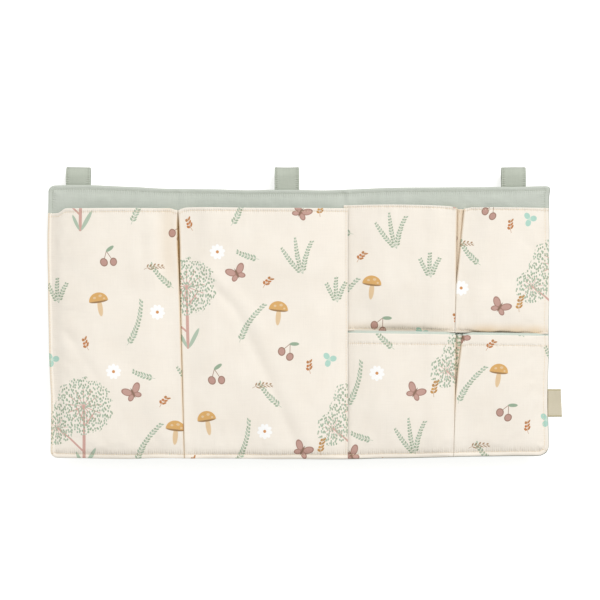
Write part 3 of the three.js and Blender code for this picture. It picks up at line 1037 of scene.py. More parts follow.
def strip_grid(row):
    """Every level of a strip: x, z and height of the cloth's middle, the way its print faces, where
    each point lies on the flat cloth, and the marks that its material reads."""
    foot_levels = np.array([0, 0.7, 1.4, 2.0, 2.6, 3.3, 3.9, 4.5, 5.1, 6.2, 7.8, 10])
    mouth_levels = np.array([
        0, 0.4, 0.9, 1.4, 1.7, 2, 2.3, 2.7, 3.4, 4.4, 5.8, 7.6, 9.4, 10.4, 11, 11.6, 12.6, 14,
    ])
    levels = np.concatenate(
        [foot_levels, np.arange(12, row["height"] - 15, pocket_step), (row["height"] - mouth_levels)[::-1]]
    )
    sections = [strip_section(row, level) for level in levels]
    x, height, away, inward = (np.array(part) for part in zip(*sections))
    on_face = inward == 0
    middle = len(levels) // 2
    steps = np.hypot(np.diff(x[middle]), np.diff(height[middle]))
    u = np.concatenate([[0], np.cumsum(steps)]) + row["print_start"][0] + 0 * x
    above = levels[:, None] + 0 * x
    from_mouth = row["height"] - above
    v = above + row["print_start"][1]
    share = above / row["height"]
    foot = row["foot"] + along_edge(x, row["foot_line"])
    mouth = row["mouth"] + along_edge(x, row["mouth_line"])
    corner = np.where(x < row["divider"], row["corner"][0], row["corner"][1]) * bump_at(away, 4)
    dip = row["mouth_dip"] * ease((dip_width - x + row["left"]) / dip_rise)
    droop = corner + row["underlay_drop"] * inward + dip
    z = foot + (mouth - foot) * share - droop * ease(1 - from_mouth / droop_reach)
    overhang = row["foot_hang"] * (1 + hang_uneven * ruffle(x / 10, 0 * x, row["seed"] + 4))
    overhang = overhang * ease((x - row["divider"] - 6) / 24) * ease((row["right"] - x - 2) / 12)
    z = z - overhang * bump_at(above - 5, 3) * on_face
    on_front = on_face * ease(away / 7)
    crease = row["creases"](x, z) + broad_crease * ruffle(u / 30, v / 34, row["seed"])
    crease = crease + small_crease * ruffle(u / 11, v / 16, row["seed"] + 1)
    tucks = short_tuck * ruffle(u / 4.2, v / 40, row["seed"] + 2) + ruffle(u / 9, v / 50, row["seed"] + 3)
    past_hem, past_stitch = from_mouth - row["hem"], above - row["foot_stitch"]
    crease = crease + hem_tuck * tucks * np.exp(-np.abs(past_hem) / 8)
    crease = crease + row["foot_tuck"] * tucks * np.exp(-np.abs(past_stitch - 2) / 7)
    crease = crease - stitch_dent * (bump_at(past_hem, 1.1) + bump_at(past_stitch, 1.1))
    free = ease((x - row["left"]) / 5) * ease((row["right"] - x) / 5) * ease(above / 3)
    over_low = low_crease_share + (1 - low_crease_share) * ease((height - 1.2) / 3)
    height = height + crease * on_front * free * over_low
    from_left = x - row["left"] - topstitch_inset
    height = height + row["rim_fill"] * ease(from_left / 14)
    run_x, run_h = np.gradient(x, axis=1), np.gradient(height, axis=1)
    length = np.hypot(run_x, run_h)
    outer_side = np.minimum(x + half_width, half_width - x) - topstitch_inset
    # Painted shade, kept as a mark for the print's colour: in the pleat's folds and on its underlay, less at
    # the mouth, above the feet and under the fourth pocket's overhang, at the first pocket's left rim and
    # beside the first slit.
    on_underlay = ease((inward - underlay_from) * pleat_shade_rise)
    shade_in_pleat = np.interp(share, *row["pleat_fold_shade"]) * ease(inward * pleat_shade_rise) * (1 - on_underlay)
    shade_in_pleat = shade_in_pleat + row["underlay_shade"] * on_underlay
    shade_in_pleat = shade_in_pleat * (row["shade_at_mouth"] + (1 - row["shade_at_mouth"]) * ease(from_mouth / 16))
    foot_shade = (row["foot_shade"] + overhang_shade * overhang) * bump_at(above - 4, 5) * on_face
    rim_shade = row["rim_shade"] * ease(1 - (x - row["left"]) / 2.2)
    beside_slit = bump_at(away - 8, 9) * on_face * (x < row["divider"]) * ease((z + 130) / 50)
    hem_pull = hem_gather * pull_of(np.abs(past_hem), hem_gather_reach)
    marks = {
        "gather_across": foot_gather * pull_of(past_stitch, row["gather_reach"]) + hem_pull,
        "gather_up": side_gather * pull_of(outer_side, topstitch_pull_reach) * on_face,
        "painted_shade": shade_in_pleat + foot_shade + rim_shade + row["slit_shade"] * beside_slit,
    }
    to_edge = np.clip(1 - (row["right"] - x) / edge_roll_reach, 0, 1)
    from_side = np.minimum(x - row["left"], row["right"] - x)
    overlap = row["mouth_overlap"] * ease((from_side - 8) / 6) * ease((away - 3) / 8) * on_face
    return {
        "raised": row["lining_raised"] + overlap,
        "x": x, "z": z, "height": height, "turn_x": -run_h / length, "turn_h": run_x / length,
        "edge_roll": row["edge_roll"] * (1 - np.sqrt(1 - to_edge**2)),
        "short_x": x - row["lining_short"] * np.clip((x - row["right"] + 10) / 10, 0, 1),
        "u": u, "v": v, "levels": levels, "marks": marks, "from_mouth": from_mouth, "inward": inward,
    }


roll_turns = [math.radians(degrees) for degrees in (28, 56, 80)]


def strip_face(grid, offset, raised=0.0):
    """One face of a strip's cloth, offset from its middle, and rolled over at the mouth's edge.
    raised is how far it stands up past the mouth."""
    points = []
    outside = offset > 0
    x = grid["x"] if outside else grid["short_x"]
    height = grid["height"] - outside * grid["edge_roll"]
    z = grid["z"] + raised * ease(1 - grid["from_mouth"] / 12)
    for roll in [0, *roll_turns]:
        rows_here = slice(-1, None) if roll else slice(None)
        out = offset * math.cos(roll)
        face_x = x[rows_here] + out * grid["turn_x"][rows_here]
        face_z = z[rows_here] + abs(offset) * math.sin(roll)
        base = front_face(x[rows_here], np.minimum(z[rows_here], 0))
        face_height = base + height[rows_here] + out * grid["turn_h"][rows_here]
        points.append(place(face_x, face_z, face_height))
    return np.concatenate(points)


def past_mouth(values, step=0.0):
    """Values of a strip's grid, carried on over the rolled edge."""
    last = values[-1:]
    return np.concatenate([values] + [last + step * (count + 1) for count in range(len(roll_turns))])


def strip_cloth(name, grid, outer, inner, raised=0.0):
    """A strip's cloth as a closed sheet, between two offsets from its middle."""
    return sheet_mesh(
        name,
        strip_face(grid, outer, raised),
        strip_face(grid, inner, raised),
        past_mouth(grid["u"]),
        past_mouth(grid["v"], 0.4),
        **{mark: past_mouth(values) for mark, values in grid["marks"].items()},
    )


def front_lines(width, pitch):
    """Shares across a pocket's front, from 1 at the sewn edge to 0 at the fold. They lie close
    together near the edge and the fold."""
    edge = np.array([0, 0.25, 0.7, 1.2, 1.8, 2.6, 3.6, 4.5, 4.9, 5.4, 6.6, 8, 9.6, 12])
    fold = np.array([0, 0.8, 1.8, 3, 4.6, 6.5, 9])
    middle = np.linspace(width - edge[-1], fold[-1], round((width - edge[-1] - fold[-1]) / pitch))[1:-1]
    return np.concatenate([width - edge, middle, fold[::-1]]) / width


def between(z, foot, foot_fade, head, head_fade):
    """1 between two heights, and fading in from each."""
    return ease((z - foot) / foot_fade) * ease((head - z) / head_fade)


def tall_creases(x, z):
    """A long slanting fold in the second pocket, upright folds beside the slit in the first, and a
    slighter slanting one low down in it."""
    slant = x - along_edge(z, ([-300, -215, -138, -83], [3, -33, -68, -123]))
    long_fold = folds_at(slant, [(-1.1, 0, 7), (0.9, 15, 10)]) * between(z, -297, 20, -70, 30)
    upright = folds_at(x, [(-1.2, -150, 5), (0.7, -159, 5), (-0.8, -172, 6)]) * between(z, -125, 50, -26, 20)
    low = folds_at(x + (z + 150) * 0.62, [(-0.6, -262, 6)]) * between(z, -250, 40, -150, 30)
    by_row_seam = folds_at(x, [(-0.9, 35, 4)]) * between(z, -240, 40, -90, 30)
    return long_fold * ease((x + 122) / 12) + upright + low + by_row_seam


def upper_creases(x, z):
    """The fourth pocket hangs full over its foot, and the third has a short upright fold."""
    full = folds_at(x, [(1.8, 228, 34)]) * bump_at(z + 132, 22)
    return full + folds_at(x - (z + 95) * 0.1, [(-0.8, 66, 6)]) * bump_at(z + 95, 35)


def lower_creases(x, z):
    """The fifth pocket has a slanting fold in its lower corner and a soft swelling above it."""
    corner = folds_at(x - (z + 270) * 0.28, [(-0.8, 68, 6)]) * ease((-z - 215) / 30)
    return corner + folds_at(x, [(0.5, 120, 20)]) * bump_at(z + 215, 22)


# What each row says: left_gap and right_gap are how wide the pleat gapes to either side of its divider, at
# shares of the height. Values for -1 and 1 are those of its left and right pocket. The entries for the folds,
# underlay, foot, rim, slit and mouth say how much shade is painted into the print there.
level_line = ([-half_width, half_width], [0, 0])
both_sides = {-1: 1.0, 1: 1.0}
plain_row = {
    "mouth_dip": 0, "edge_height": both_sides, "underlay_puff": 0, "foot_hang": 0, "edge_roll": 0,
    "rim_fill": 0, "rim_shade": 0, "slit_shade": 0, "mouth_overlap": 0, "lining_short": 0,
    "foot": -panel_height, "foot_line": level_line, "foot_stitch": topstitch_inset, "foot_tuck": 0.35,
    "foot_first": {-1: (0.3, 10), 1: (0.3, 10)}, "bulge": {-1: 6.2, 1: 6.2}, "mouth_bulge": 1.6,
    "side_rise": {-1: 44, 1: 72}, "fold_ease": 30, "gather_reach": 8, "lining_raised": 0.3,
}
small_row = plain_row | {"left": 49.5, "right": half_width}
rows = {
    "tall": plain_row | {
        "left": -half_width, "right": 54.0, "divider": -130.0, "divider_drift": [4.4, -2.7],
        "left_gap": ([0, 0.5, 0.62, 0.75, 0.85, 0.92, 1], [0.06, 0.08, 0.14, 0.7, 1.3, 1.0, 0.2]),
        "right_gap": ([0, 0.5, 0.62, 0.75, 0.85, 0.92, 1], [0.06, 0.08, 0.12, 0.5, 0.9, 0.7, 0.2]),
        "fold_round": ([0, 0.55, 0.75], [0.4, 0.5, 0.8]), "edge_height": {-1: 1.0, 1: 2.6},
        "bulge": {-1: 7.4, 1: 7.4}, "foot_rise": {-1: 80, 1: 90}, "side_rise": {-1: 52, 1: 60},
        "fold_ease": 36, "corner": (2.4, 1.8), "underlay_drop": 2.0,
        "mouth": -26.1, "mouth_dip": 5.2, "hem": 3.4,
        "mouth_line": (
            [-275, -225, -200, -140, -120, -85, -55, 55], [-0.6, -0.6, 0, 0, 1.4, 1.4, 0.9, 0.5]
        ),
        "edge_roll": 0.85, "rim_fill": 1.5, "lining_short": 2.4,
        "pleat_fold_shade": ([0, 0.3], [0.6, 0.9]), "underlay_shade": 0.85, "foot_shade": 0.04,
        "rim_shade": 0.3, "slit_shade": 0.15, "shade_at_mouth": 0.2,
        "print_start": (12, 22), "creases": tall_creases, "seed": 31,
    },
    "upper": small_row | {
        "divider": 175.0, "divider_drift": [-3.4, 0],
        "left_gap": ([0, 0.4, 1], [0.06, 0.08, 0.9]),
        "right_gap": ([0, 0.38, 0.55, 1], [0.06, 0.1, 2.0, 6.6]),
        "fold_round": ([0, 0.4, 0.6], [0.25, 0.4, 0.8]), "underlay_puff": 2.8,
        "bulge": {-1: 6.2, 1: 6.4}, "foot_rise": {-1: 56, 1: 44}, "foot_first": {-1: (0.35, 9), 1: (0.7, 6)},
        "corner": (0.6, 1.4), "underlay_drop": 1.2,
        "foot": -162.0, "foot_line": ([50, 275], [1.6, -2.2]), "foot_stitch": 2.6, "foot_tuck": 0.8,
        "foot_hang": 2.5, "gather_reach": 4.5, "mouth": -21.6, "hem": 2.0,
        "mouth_line": (
            [50, 100, 128, 150, 190, 207, 250, 275], [0.2, 0.1, -0.6, -1.1, -4.1, -3.5, -3.9, -4.5]
        ),
        "pleat_fold_shade": ([0, 0.3, 0.5], [0.05, 0.2, 0.6]), "underlay_shade": 0.3, "foot_shade": 0.16,
        "shade_at_mouth": 1,
        "print_start": (118, 262), "creases": upper_creases, "seed": 41,
    },
    "lower": small_row | {
        "divider": 174.0, "divider_drift": [-3.8, 0],
        "left_gap": ([0, 0.5, 1], [0.06, 0.1, 0.9]),
        "right_gap": ([0, 0.5, 0.7, 1], [0.06, 0.14, 1.7, 5.6]),
        "fold_round": ([0, 0.5, 0.7], [0.25, 0.4, 0.8]), "underlay_puff": 3.4,
        "foot_rise": {-1: 64, 1: 64}, "corner": (0.4, 0.9), "underlay_drop": 0.3,
        "mouth": -165.5, "hem": 10.4, "mouth_line": ([50, 275], [2.0, -1.4]),
        "mouth_overlap": 1.0, "lining_raised": 1.95,
        "pleat_fold_shade": ([0, 0.3, 0.5], [0, 0.1, 0.7]), "underlay_shade": 0.25, "foot_shade": 0.03,
        "shade_at_mouth": 0.6,
        "print_start": (96, 90), "creases": lower_creases, "seed": 51,
    },
}


def lit_lining_dye(wires, flat):
    """The covers' sage, painted paler for the light that its rolled edge catches above the pocket mouths."""
    return wires.mix(wires.noise(flat, 30.0, 3.0), linear("#cbd5ca"), linear("#d8e0d7"))


lining_cotton = cotton_material("lining cotton", colour_of=lit_lining_dye, slub=0.6, **sage_weave)
for name, row in rows.items():
    row["height"] = row["mouth"] - row["foot"]
    row["lines"] = {
        -1: front_lines(row["divider"] - row["left"], pocket_step),
        1: front_lines(row["right"] - row["divider"], pocket_step),
    }
    grid = row["grid"] = strip_grid(row)
    cloth = strip_cloth(f"{name}_pocket_print", grid, print_out, print_in)
    lining = strip_cloth(f"{name}_pocket_backing", grid, lining_out, lining_in, grid["raised"])
    place_piece(cloth, "panel", f"{name}_pocket_cloth", printed_cotton)
    place_piece(lining, "panel", f"{name}_pocket_lining", lining_cotton)

# Seams: lockstitch in sage thread on the covers and in cream thread on the print. A stitch is a short
# length of thread that dips into the cloth at both its ends.
thread_lift = 0.12
stitch_share = 0.82
shortest_stitch, longest_stitch = 0.86, 1.08
GEOMETRY, MATERIAL, WHOLE = "NodeSocketGeometry", "NodeSocketMaterial", "NodeSocketInt"


def make_stitching():
    """Lays stitches along each seam line, which carries the way its cloth faces."""
    wires, source = node_group(
        "stitching",
        [
            ("Seams", GEOMETRY, None), ("Pitch", FLOAT, 0.0031), ("Stitch length", FLOAT, 0.0025),
            ("Thread width", FLOAT, 0.0005), ("Seed", WHOLE, 7), ("Thread", MATERIAL, None),
        ],
        [("Stitches", GEOMETRY)],
        "GeometryNodeTree",
    )
    curve = wires.add("GeometryNodeMeshToCurve", {0: source["Seams"]})
    spacing = {"Curve": curve, "Length": source["Pitch"]}
    spaced = wires.add("GeometryNodeResampleCurve", spacing, mode="LENGTH")
    tangent = wires.add("GeometryNodeInputTangent", {})
    facing = wires.add("GeometryNodeInputNamedAttribute", {"Name": "facing"}, data_type="FLOAT_VECTOR")
    along = wires.add("FunctionNodeAlignRotationToVector", {"Vector": tangent}, axis="X")
    upright = wires.add(
        "FunctionNodeAlignRotationToVector", {"Rotation": along, "Vector": facing}, axis="Z", pivot_axis="X"
    )
    uneven = {2: shortest_stitch, 3: longest_stitch, "Seed": source["Seed"]}
    chance = wires.add("FunctionNodeRandomValue", uneven, 1, data_type="FLOAT")
    size = wires.combine(source["Stitch length"] * chance, source["Thread width"], source["Thread width"])
    shape = wires.add("GeometryNodeMeshUVSphere", {"Segments": 8, "Rings": 5, "Radius": 0.5})
    inputs = {"Points": spaced, "Instance": shape, "Rotation": upright, "Scale": size}
    real = wires.add("GeometryNodeRealizeInstances", {0: wires.add("GeometryNodeInstanceOnPoints", inputs)})
    smooth = wires.add("GeometryNodeSetShadeSmooth", {0: real})
    sewn = wires.add("GeometryNodeSetMaterial", {"Geometry": smooth, "Material": source["Thread"]})
    return wires.give(Stitches=sewn)


stitching = make_stitching()


def plain_mesh(name, mesh, tree, settings):
    """Runs a Geometry Nodes tree on a mesh and gives the plain piece that comes out."""
    start = new_object(name, mesh)
    modifier = start.modifiers.new(name, "NODES")
    modifier.node_group = tree
    for socket in tree.interface.items_tree:
        if socket.name in settings:
            modifier[socket.identifier] = settings[socket.name]
    evaluated = start.evaluated_get(bpy.context.evaluated_depsgraph_get())
    made = bpy.data.meshes.new_from_object(evaluated)
    made.name = name
    bpy.data.objects.remove(start)
    return new_object(name, made)


def sew(name, seams, thread, pitch=3.1, width=0.5):
    """Sews seams, which are pairs of a line of points in millimetres and the way the cloth faces."""
    points, edges, facing = [], [], []
    for line, way in seams:
        first = len(points)
        points += [tuple(point) for point in line * MM]
        edges += [(first + i, first + i + 1) for i in range(len(line) - 1)]
        facing += [tuple(direction) for direction in np.broadcast_to(way, line.shape)]
    mesh = bpy.data.meshes.new(name)
    mesh.from_pydata(points, edges, [])
    stored = mesh.attributes.new("facing", "FLOAT_VECTOR", "POINT")
    stored.data.foreach_set("vector", np.array(facing, np.float32).ravel())
    sizes = {"Pitch": pitch * MM, "Stitch length": pitch * stitch_share * MM, "Thread width": width * MM}
    return plain_mesh(name, mesh, stitching, sizes | {"Thread": thread})


def thread_material(name, dark, light):
    """Spun polyester thread: fine turns of fibre, with a slight sheen."""
    material, wires, shader = new_material(name)
    where = wires.add("ShaderNodeTexCoord", {}, "Object")
    fibre = wires.noise(where, 5200.0)
    wires.feed(shader, {
        "Base Color": wires.mix(fibre, linear(dark), linear(light)),
        "Roughness": fibre * 0.2 + 0.5,
        "Normal": wires.bump(fibre, 0.4, 0.0001),
        "Sheen Weight": 0.1,
    })
    return material


sage_thread = thread_material("sage thread", "#a4ab9b", "#bcc2b4")
cream_thread = thread_material("cream thread", "#e8d4b4", "#f6e6cd")
to_front, to_back = np.array([0.0, -1.0, 0.0]), np.array([0.0, 1.0, 0.0])


def cover_seam(x, z, back=False):
    """A line of points just proud of a cover."""
    face = back_face if back else front_face
    height = face(x, z) + thread_lift
    return place(x, z, -height if back else height), to_back if back else to_front


stitch_end_x = half_width - topstitch_inset
across_top = np.linspace(-stitch_end_x, stitch_end_x, 400)
down_side = np.linspace(-topstitch_inset, rows["tall"]["mouth"] + 2, 16)
down_back = np.linspace(-topstitch_inset, topstitch_inset - panel_height, 200)
cover_seams = [cover_seam(across_top, 0 * across_top - topstitch_inset)]
for side in (-1, 1):
    cover_seams.append(cover_seam(0 * down_side + side * stitch_end_x, down_side))
    cover_seams.append(cover_seam(0 * down_back + side * stitch_end_x, down_back, back=True))
for edge_z in (-topstitch_inset, topstitch_inset - panel_height):
    cover_seams.append(cover_seam(across_top, 0 * across_top + edge_z, back=True))
cover_stitches = sew("cover_topstitching", cover_seams, sage_thread)


def nearest(values, wanted):
    """The number of the value that lies nearest to the one wanted."""
    return int(np.argmin(np.abs(values - wanted)))


tall_inset_left, tall_inset_right = 1.8, 1.5
pocket_seams = []
for name, row in rows.items():
    grid = row["grid"]
    face = strip_face(grid, print_out + thread_lift)
    fronts = np.flatnonzero(grid["inward"][0] == 0)
    split = np.flatnonzero(np.diff(fronts) > 1)[0] + 1
    left_front, right_front = fronts[:split], fronts[split:]
    hem = nearest(row["height"] - grid["levels"], row["hem"])
    foot = nearest(grid["levels"], row["foot_stitch"])
    for level in (hem, foot):
        for half in (left_front[3:], right_front[:-3]):
            pocket_seams.append((face[level, half], to_front))
    right_inset = tall_inset_right if name == "tall" else topstitch_inset
    columns = [right_front[nearest(row["right"] - grid["x"][0, right_front], right_inset)]]
    if name == "tall":
        columns.append(left_front[nearest(grid["x"][0, left_front] - row["left"], tall_inset_left)])
    for column in columns:
        pocket_seams.append((face[foot : len(grid["levels"]), column], to_front))
pocket_stitches = sew("pocket_stitching", pocket_seams, cream_thread)
for stitches, slot in ((cover_stitches, "sage_cotton"), (pocket_stitches, "printed_cotton")):
    place_piece(stitches, "panel")

# Straps: each is a strip of sage cotton folded to four layers and edge-stitched, sewn to the panel's
# back, and closed behind the rail with hook and loop tape. It is made as two lengths that meet on top
# of the rail, where the free end starts to turn when the strap is opened.
strap_width = 27
strap_thickness = 1.4
strap_centres = {"left": -243, "middle": -13, "right": 237}
strap_bend = 10.0
strap_stitch_inset = 2.2
strap_step = 1.2
anchor_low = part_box("left_strap_anchor")[0].z / MM
tail_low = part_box("left_strap_tail")[0].z / MM
tail_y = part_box("left_strap_tail")[0].y / MM + strap_thickness / 2
tail_flat_z = -35.3


def strap_line(step):
    """The strap's middle as [y, z] points, from its sewn end over the rail to its free end, and the
    number of the point on top of the rail."""
    up = [(-strap_bend, z) for z in np.arange(anchor_low, 0, step)]
    over = [
        (-strap_bend * math.cos(angle), strap_bend * math.sin(angle))
        for angle in np.linspace(0, math.pi, 2 * round(math.pi * strap_bend / step) + 1)
    ]
    shares = np.linspace(0, 1, round(abs(tail_flat_z) / step))[1:]
    down = [(strap_bend + (tail_y - strap_bend) * float(ease(t)), t * tail_flat_z) for t in shares]
    end = [(tail_y, z) for z in np.arange(tail_flat_z - step, tail_low, -step)] + [(tail_y, tail_low)]
    return np.array(up + over + down + end), len(up) + len(over) // 2


strap_path, top = strap_line(strap_step)
steps = np.hypot(*np.gradient(strap_path, axis=0).T)
strap_run = np.cumsum(steps)
strap_way = np.gradient(strap_path, axis=0) / steps[:, None]
strap_normal = np.stack([-strap_way[:, 1], strap_way[:, 0]], axis=-1)
edge_thin_share, round_reach, stitch_dip, stitch_dip_reach = 0.12, 0.8, 0.16, 0.7
strap_wave, strap_edge_wave, strap_sway = 0.3, 0.14, 0.25


def strap_half(across):
    """Half a strap's thickness: rounded at its folded edges and drawn in by the edge stitching."""
    from_edge = strap_width / 2 - np.abs(across)
    round_edge = np.sqrt(np.clip(1 - (1 - np.clip(from_edge / round_reach, 0, 1)) ** 2, 0, 1))
    half = strap_thickness / 2 * (edge_thin_share + (1 - edge_thin_share) * round_edge)
    return half - stitch_dip * bump_at(from_edge - strap_stitch_inset, stitch_dip_reach)


def strap_points(centre, seed, across, side, extra=0.0):
    """Points of one face of a strap, side 1 or -1, how far across and along it each lies, and the way
    the face looks."""
    a, r = np.meshgrid(across, strap_run)
    by_stitches = bump_at(strap_width / 2 - np.abs(a) - strap_stitch_inset, 2.5)
    soft = strap_wave * ruffle(r / 9, a / 14 + seed, 61)
    soft = soft + strap_edge_wave * ruffle(r / 2.6, a / 30 + seed, 62) * by_stitches
    out = side * (strap_half(a) + extra) + soft * ease(r / 14) * ease((strap_run[-1] - r) / 40)
    x = centre + a + strap_sway * ruffle(r / 14, 0 * a + seed, 63)
    y, z = (strap_path[:, [way]] + strap_normal[:, [way]] * out for way in (0, 1))
    facing = np.stack([0 * strap_run, side * strap_normal[:, 0], side * strap_normal[:, 1]], axis=-1)
    return np.stack([x, y, z], axis=-1), a, r, facing


strap_edges = np.array([0, 0.15, 0.4, 0.8, 1.4, 1.9, 2.2, 2.5, 3.1, 4.2]) - strap_width / 2
strap_across = np.concatenate([strap_edges, np.linspace(-8, 8, 9), -strap_edges[::-1]])
tape_box = [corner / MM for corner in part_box("left_hook_tape")]
tape_half_width = (tape_box[1].x - tape_box[0].x) / 2
tape_low, tape_high = tape_box[0].z, tape_box[1].z
tape_half_height, tape_middle = (tape_high - tape_low) / 2, (tape_low + tape_high) / 2
tape_seam_inset = 1.4
strap_gather, strap_gather_reach = 0.7, 3


def shaded_strap_dye(wires, flat):
    """The covers' sage, painted a little darker all over as the shade on the straps."""
    return wires.mix(wires.noise(flat, 40.0, 3.0), linear("#acb3a6"), linear("#bcc2b6"))


strap_cotton = cotton_material("strap cotton", colour_of=shaded_strap_dye, slub=0.9, **sage_weave)


def box_seam(centre):
    """The square of stitches that holds the hook tape, as it shows on the outside of the strap."""
    seams = []
    half_x, half_z = tape_half_width - tape_seam_inset, tape_half_height - tape_seam_inset
    corners = [(-1, -1), (1, -1), (1, 1), (-1, 1), (-1, -1)]
    for start, end in zip(corners, corners[1:]):
        x, z = np.linspace(start, end, 10).T
        y = 0 * x + tail_y + strap_thickness / 2 + thread_lift
        seams.append((np.stack([centre + half_x * x, y, tape_middle + half_z * z], axis=-1), to_back))
    return seams


def edge_seams(centre, number, rows_here):
    """The stitches along both edges of a strap, on both its faces."""
    seams = []
    for side, edge in ((1, -1), (1, 1), (-1, -1), (-1, 1)):
        inset = np.array([edge * (strap_width / 2 - strap_stitch_inset)])
        points, _, _, facing = strap_points(centre, number, inset, side, thread_lift)
        seams.append((points[rows_here, 0], facing[rows_here]))
    return seams


def strap_part(name, centre, number, rows_here):
    """One length of a strap: its sewn front leg, or the free end that comes down behind. The two
    share an edge on top of the rail, which is marked sharp there so that no shade shows the split."""
    outer, a, r, _ = strap_points(centre, number, strap_across, 1)
    inner = strap_points(centre, number, strap_across, -1)[0]
    from_stitch = np.abs(np.abs(a) - strap_width / 2 + strap_stitch_inset)
    gathered = strap_gather * pull_of(from_stitch, strap_gather_reach)
    part = sheet_mesh(
        name, outer[rows_here], inner[rows_here], a[rows_here] + 20 * number, r[rows_here],
        gather_up=gathered[rows_here],
    )
    for edge in part.data.edges:
        ends = [part.data.vertices[i].co.y for i in edge.vertices]
        edge.use_edge_sharp = max(map(abs, ends)) < 0.02 * MM
    return part


for number, (name, centre) in enumerate(strap_centres.items()):
    front = strap_part(f"{name}_strap_front", centre, number, slice(None, top + 1))
    tail = strap_part(f"{name}_strap_free_end", centre, number, slice(top, None))
    front_seams = edge_seams(centre, number, slice(1, top - 2))
    tail_seams = edge_seams(centre, number, slice(top + 3, -2)) + box_seam(centre)
    front_stitches, tail_stitches = (
        sew(f"{name}_strap_{part}_stitching", seams, sage_thread, pitch=2.8, width=0.45)
        for part, seams in (("front", front_seams), ("free_end", tail_seams))
    )
    front.data.materials.append(strap_cotton)
    tail.data.materials.append(strap_cotton)
    for piece in (front, front_stitches):
        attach(piece, "panel")
    for piece in (tail, tail_stitches):
        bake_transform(piece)
    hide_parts(f"{name}_strap_anchor")
    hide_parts(f"{name}_strap_tail")

# Hook and loop tape: nylon tape in sage, one piece sewn to the inside of each strap's free end and one
# to the panel's back under it. The hook piece has rows of small bent hooks, the loop piece a pile.
tape_base = 0.55
tape_corner = 1.5
tape_edge_share, tape_edge_reach = 0.45, 1.2
hook_pitch = 1.5
hook_margin = 2.2
hook_height = 0.5
widest_lean = 0.5


def tape_material(name, pile_share):
    """Nylon tape: a fine weave under tufts that stand up as far as its pile does."""
    material, wires, shader = new_material(name)
    flat = wires.cloth_map()
    weave = wires.group(weave_group, {"Vector": flat, "Thread": 0.00035, "Slub": 0.3})
    tufts = wires.noise(flat, 1500.0, 4.0, 0.75)
    wires.feed(shader, {
        "Base Color": wires.mix(tufts, linear("#9aa292"), linear("#b9c0b1")),
        "Roughness": tufts * 0.25 + 0.5,
        "Normal": wires.bump(tufts * pile_share + wires.out(weave, "Height"), 0.8, 0.00025),
    })
    return material


def make_hooks():
    """Stands a small hook with a rounded head on every point."""
    wires, source = node_group(
        "hook_rows",
        [
            ("Points", GEOMETRY, None), ("Hook height", FLOAT, 0.0005), ("Seed", WHOLE, 3),
            ("Nylon", MATERIAL, None),
        ],
        [("Hooks", GEOMETRY)],
        "GeometryNodeTree",
    )
    points = wires.add("GeometryNodeMeshToPoints", {0: source["Points"]})
    stem_sizes = {"Vertices": 5, "Radius Top": 0.12, "Radius Bottom": 0.2, "Depth": 0.85}
    stem = wires.add("GeometryNodeMeshCone", stem_sizes)
    head = wires.add("GeometryNodeMeshUVSphere", {"Segments": 6, "Rings": 4, "Radius": 0.28})
    bent_over = {"Geometry": head, "Translation": (0.12, 0, 0.82), "Scale": (1.3, 1, 0.6)}
    shape = wires.node("GeometryNodeJoinGeometry", {})
    wires.feed(shape, {0: stem})
    wires.feed(shape, {0: wires.add("GeometryNodeTransform", bent_over)})
    lean = {2: -widest_lean, 3: widest_lean, "Seed": source["Seed"]}
    turn = wires.add("FunctionNodeRandomValue", lean, 1, data_type="FLOAT")
    size = wires.combine(*[source["Hook height"]] * 3)
    inputs = {
        "Points": points, "Instance": wires.out(shape), "Scale": size,
        "Rotation": wires.combine(math.pi / 2, turn),
    }
    real = wires.add("GeometryNodeRealizeInstances", {0: wires.add("GeometryNodeInstanceOnPoints", inputs)})
    done = wires.add("GeometryNodeSetMaterial", {"Geometry": real, "Material": source["Nylon"]})
    return wires.give(Hooks=done)


hook_rows = make_hooks()
hook_nylon = tape_material("hook tape nylon", 0.4)
loop_pile = tape_material("loop tape pile", 3.0)


def tape_sheet(name, centre, y_low, y_high):
    """A flat tape with rounded corners, its thin edges drawn in."""
    x, z = np.meshgrid(
        np.linspace(-1, 1, 19) * tape_half_width, np.linspace(-1, 1, 25) * tape_half_height
    )
    round_x, round_z = rounded(x, z, tape_half_width, tape_half_height, tape_corner)
    rim = np.minimum(tape_half_width - np.abs(x), tape_half_height - np.abs(z))
    thin = (y_high - y_low) / 2 * (
        tape_edge_share + (1 - tape_edge_share) * ease(rim / tape_edge_reach)
    )
    front, back = (
        np.stack([centre + round_x, (y_low + y_high) / 2 + side * thin, tape_middle + round_z], axis=-1)
        for side in (-1, 1)
    )
    return sheet_mesh(name, front, back, x, z)


for name, centre in strap_centres.items():
    loop_low, loop_high = (corner.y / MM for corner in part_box(f"{name}_loop_tape"))
    hook_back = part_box(f"{name}_hook_tape")[1].y / MM
    hook_root = hook_back - tape_base
    loop_tape = tape_sheet(f"{name}_loop_side", centre, loop_low, loop_high)
    hook_tape = tape_sheet(f"{name}_hook_side", centre, hook_root, hook_back)
    hook_x, hook_z = np.meshgrid(
        np.arange(hook_margin - tape_half_width, tape_half_width - 2, hook_pitch),
        np.arange(tape_low + hook_margin, tape_high - 2, hook_pitch),
    )
    roots = np.stack([centre + hook_x, 0 * hook_x + hook_root, hook_z], axis=-1).reshape(-1, 3)
    mesh = bpy.data.meshes.new(f"{name}_hooks")
    mesh.from_pydata([tuple(root) for root in roots * MM], [], [])
    sizes = {"Hook height": hook_height * MM, "Nylon": hook_nylon}
    hooks = plain_mesh(f"{name}_hooks", mesh, hook_rows, sizes)
    place_piece(loop_tape, "panel", f"{name}_loop_tape", loop_pile)
    place_piece(hook_tape, f"{name}_tail", f"{name}_hook_tape", hook_nylon)
    place_piece(hooks, f"{name}_tail")

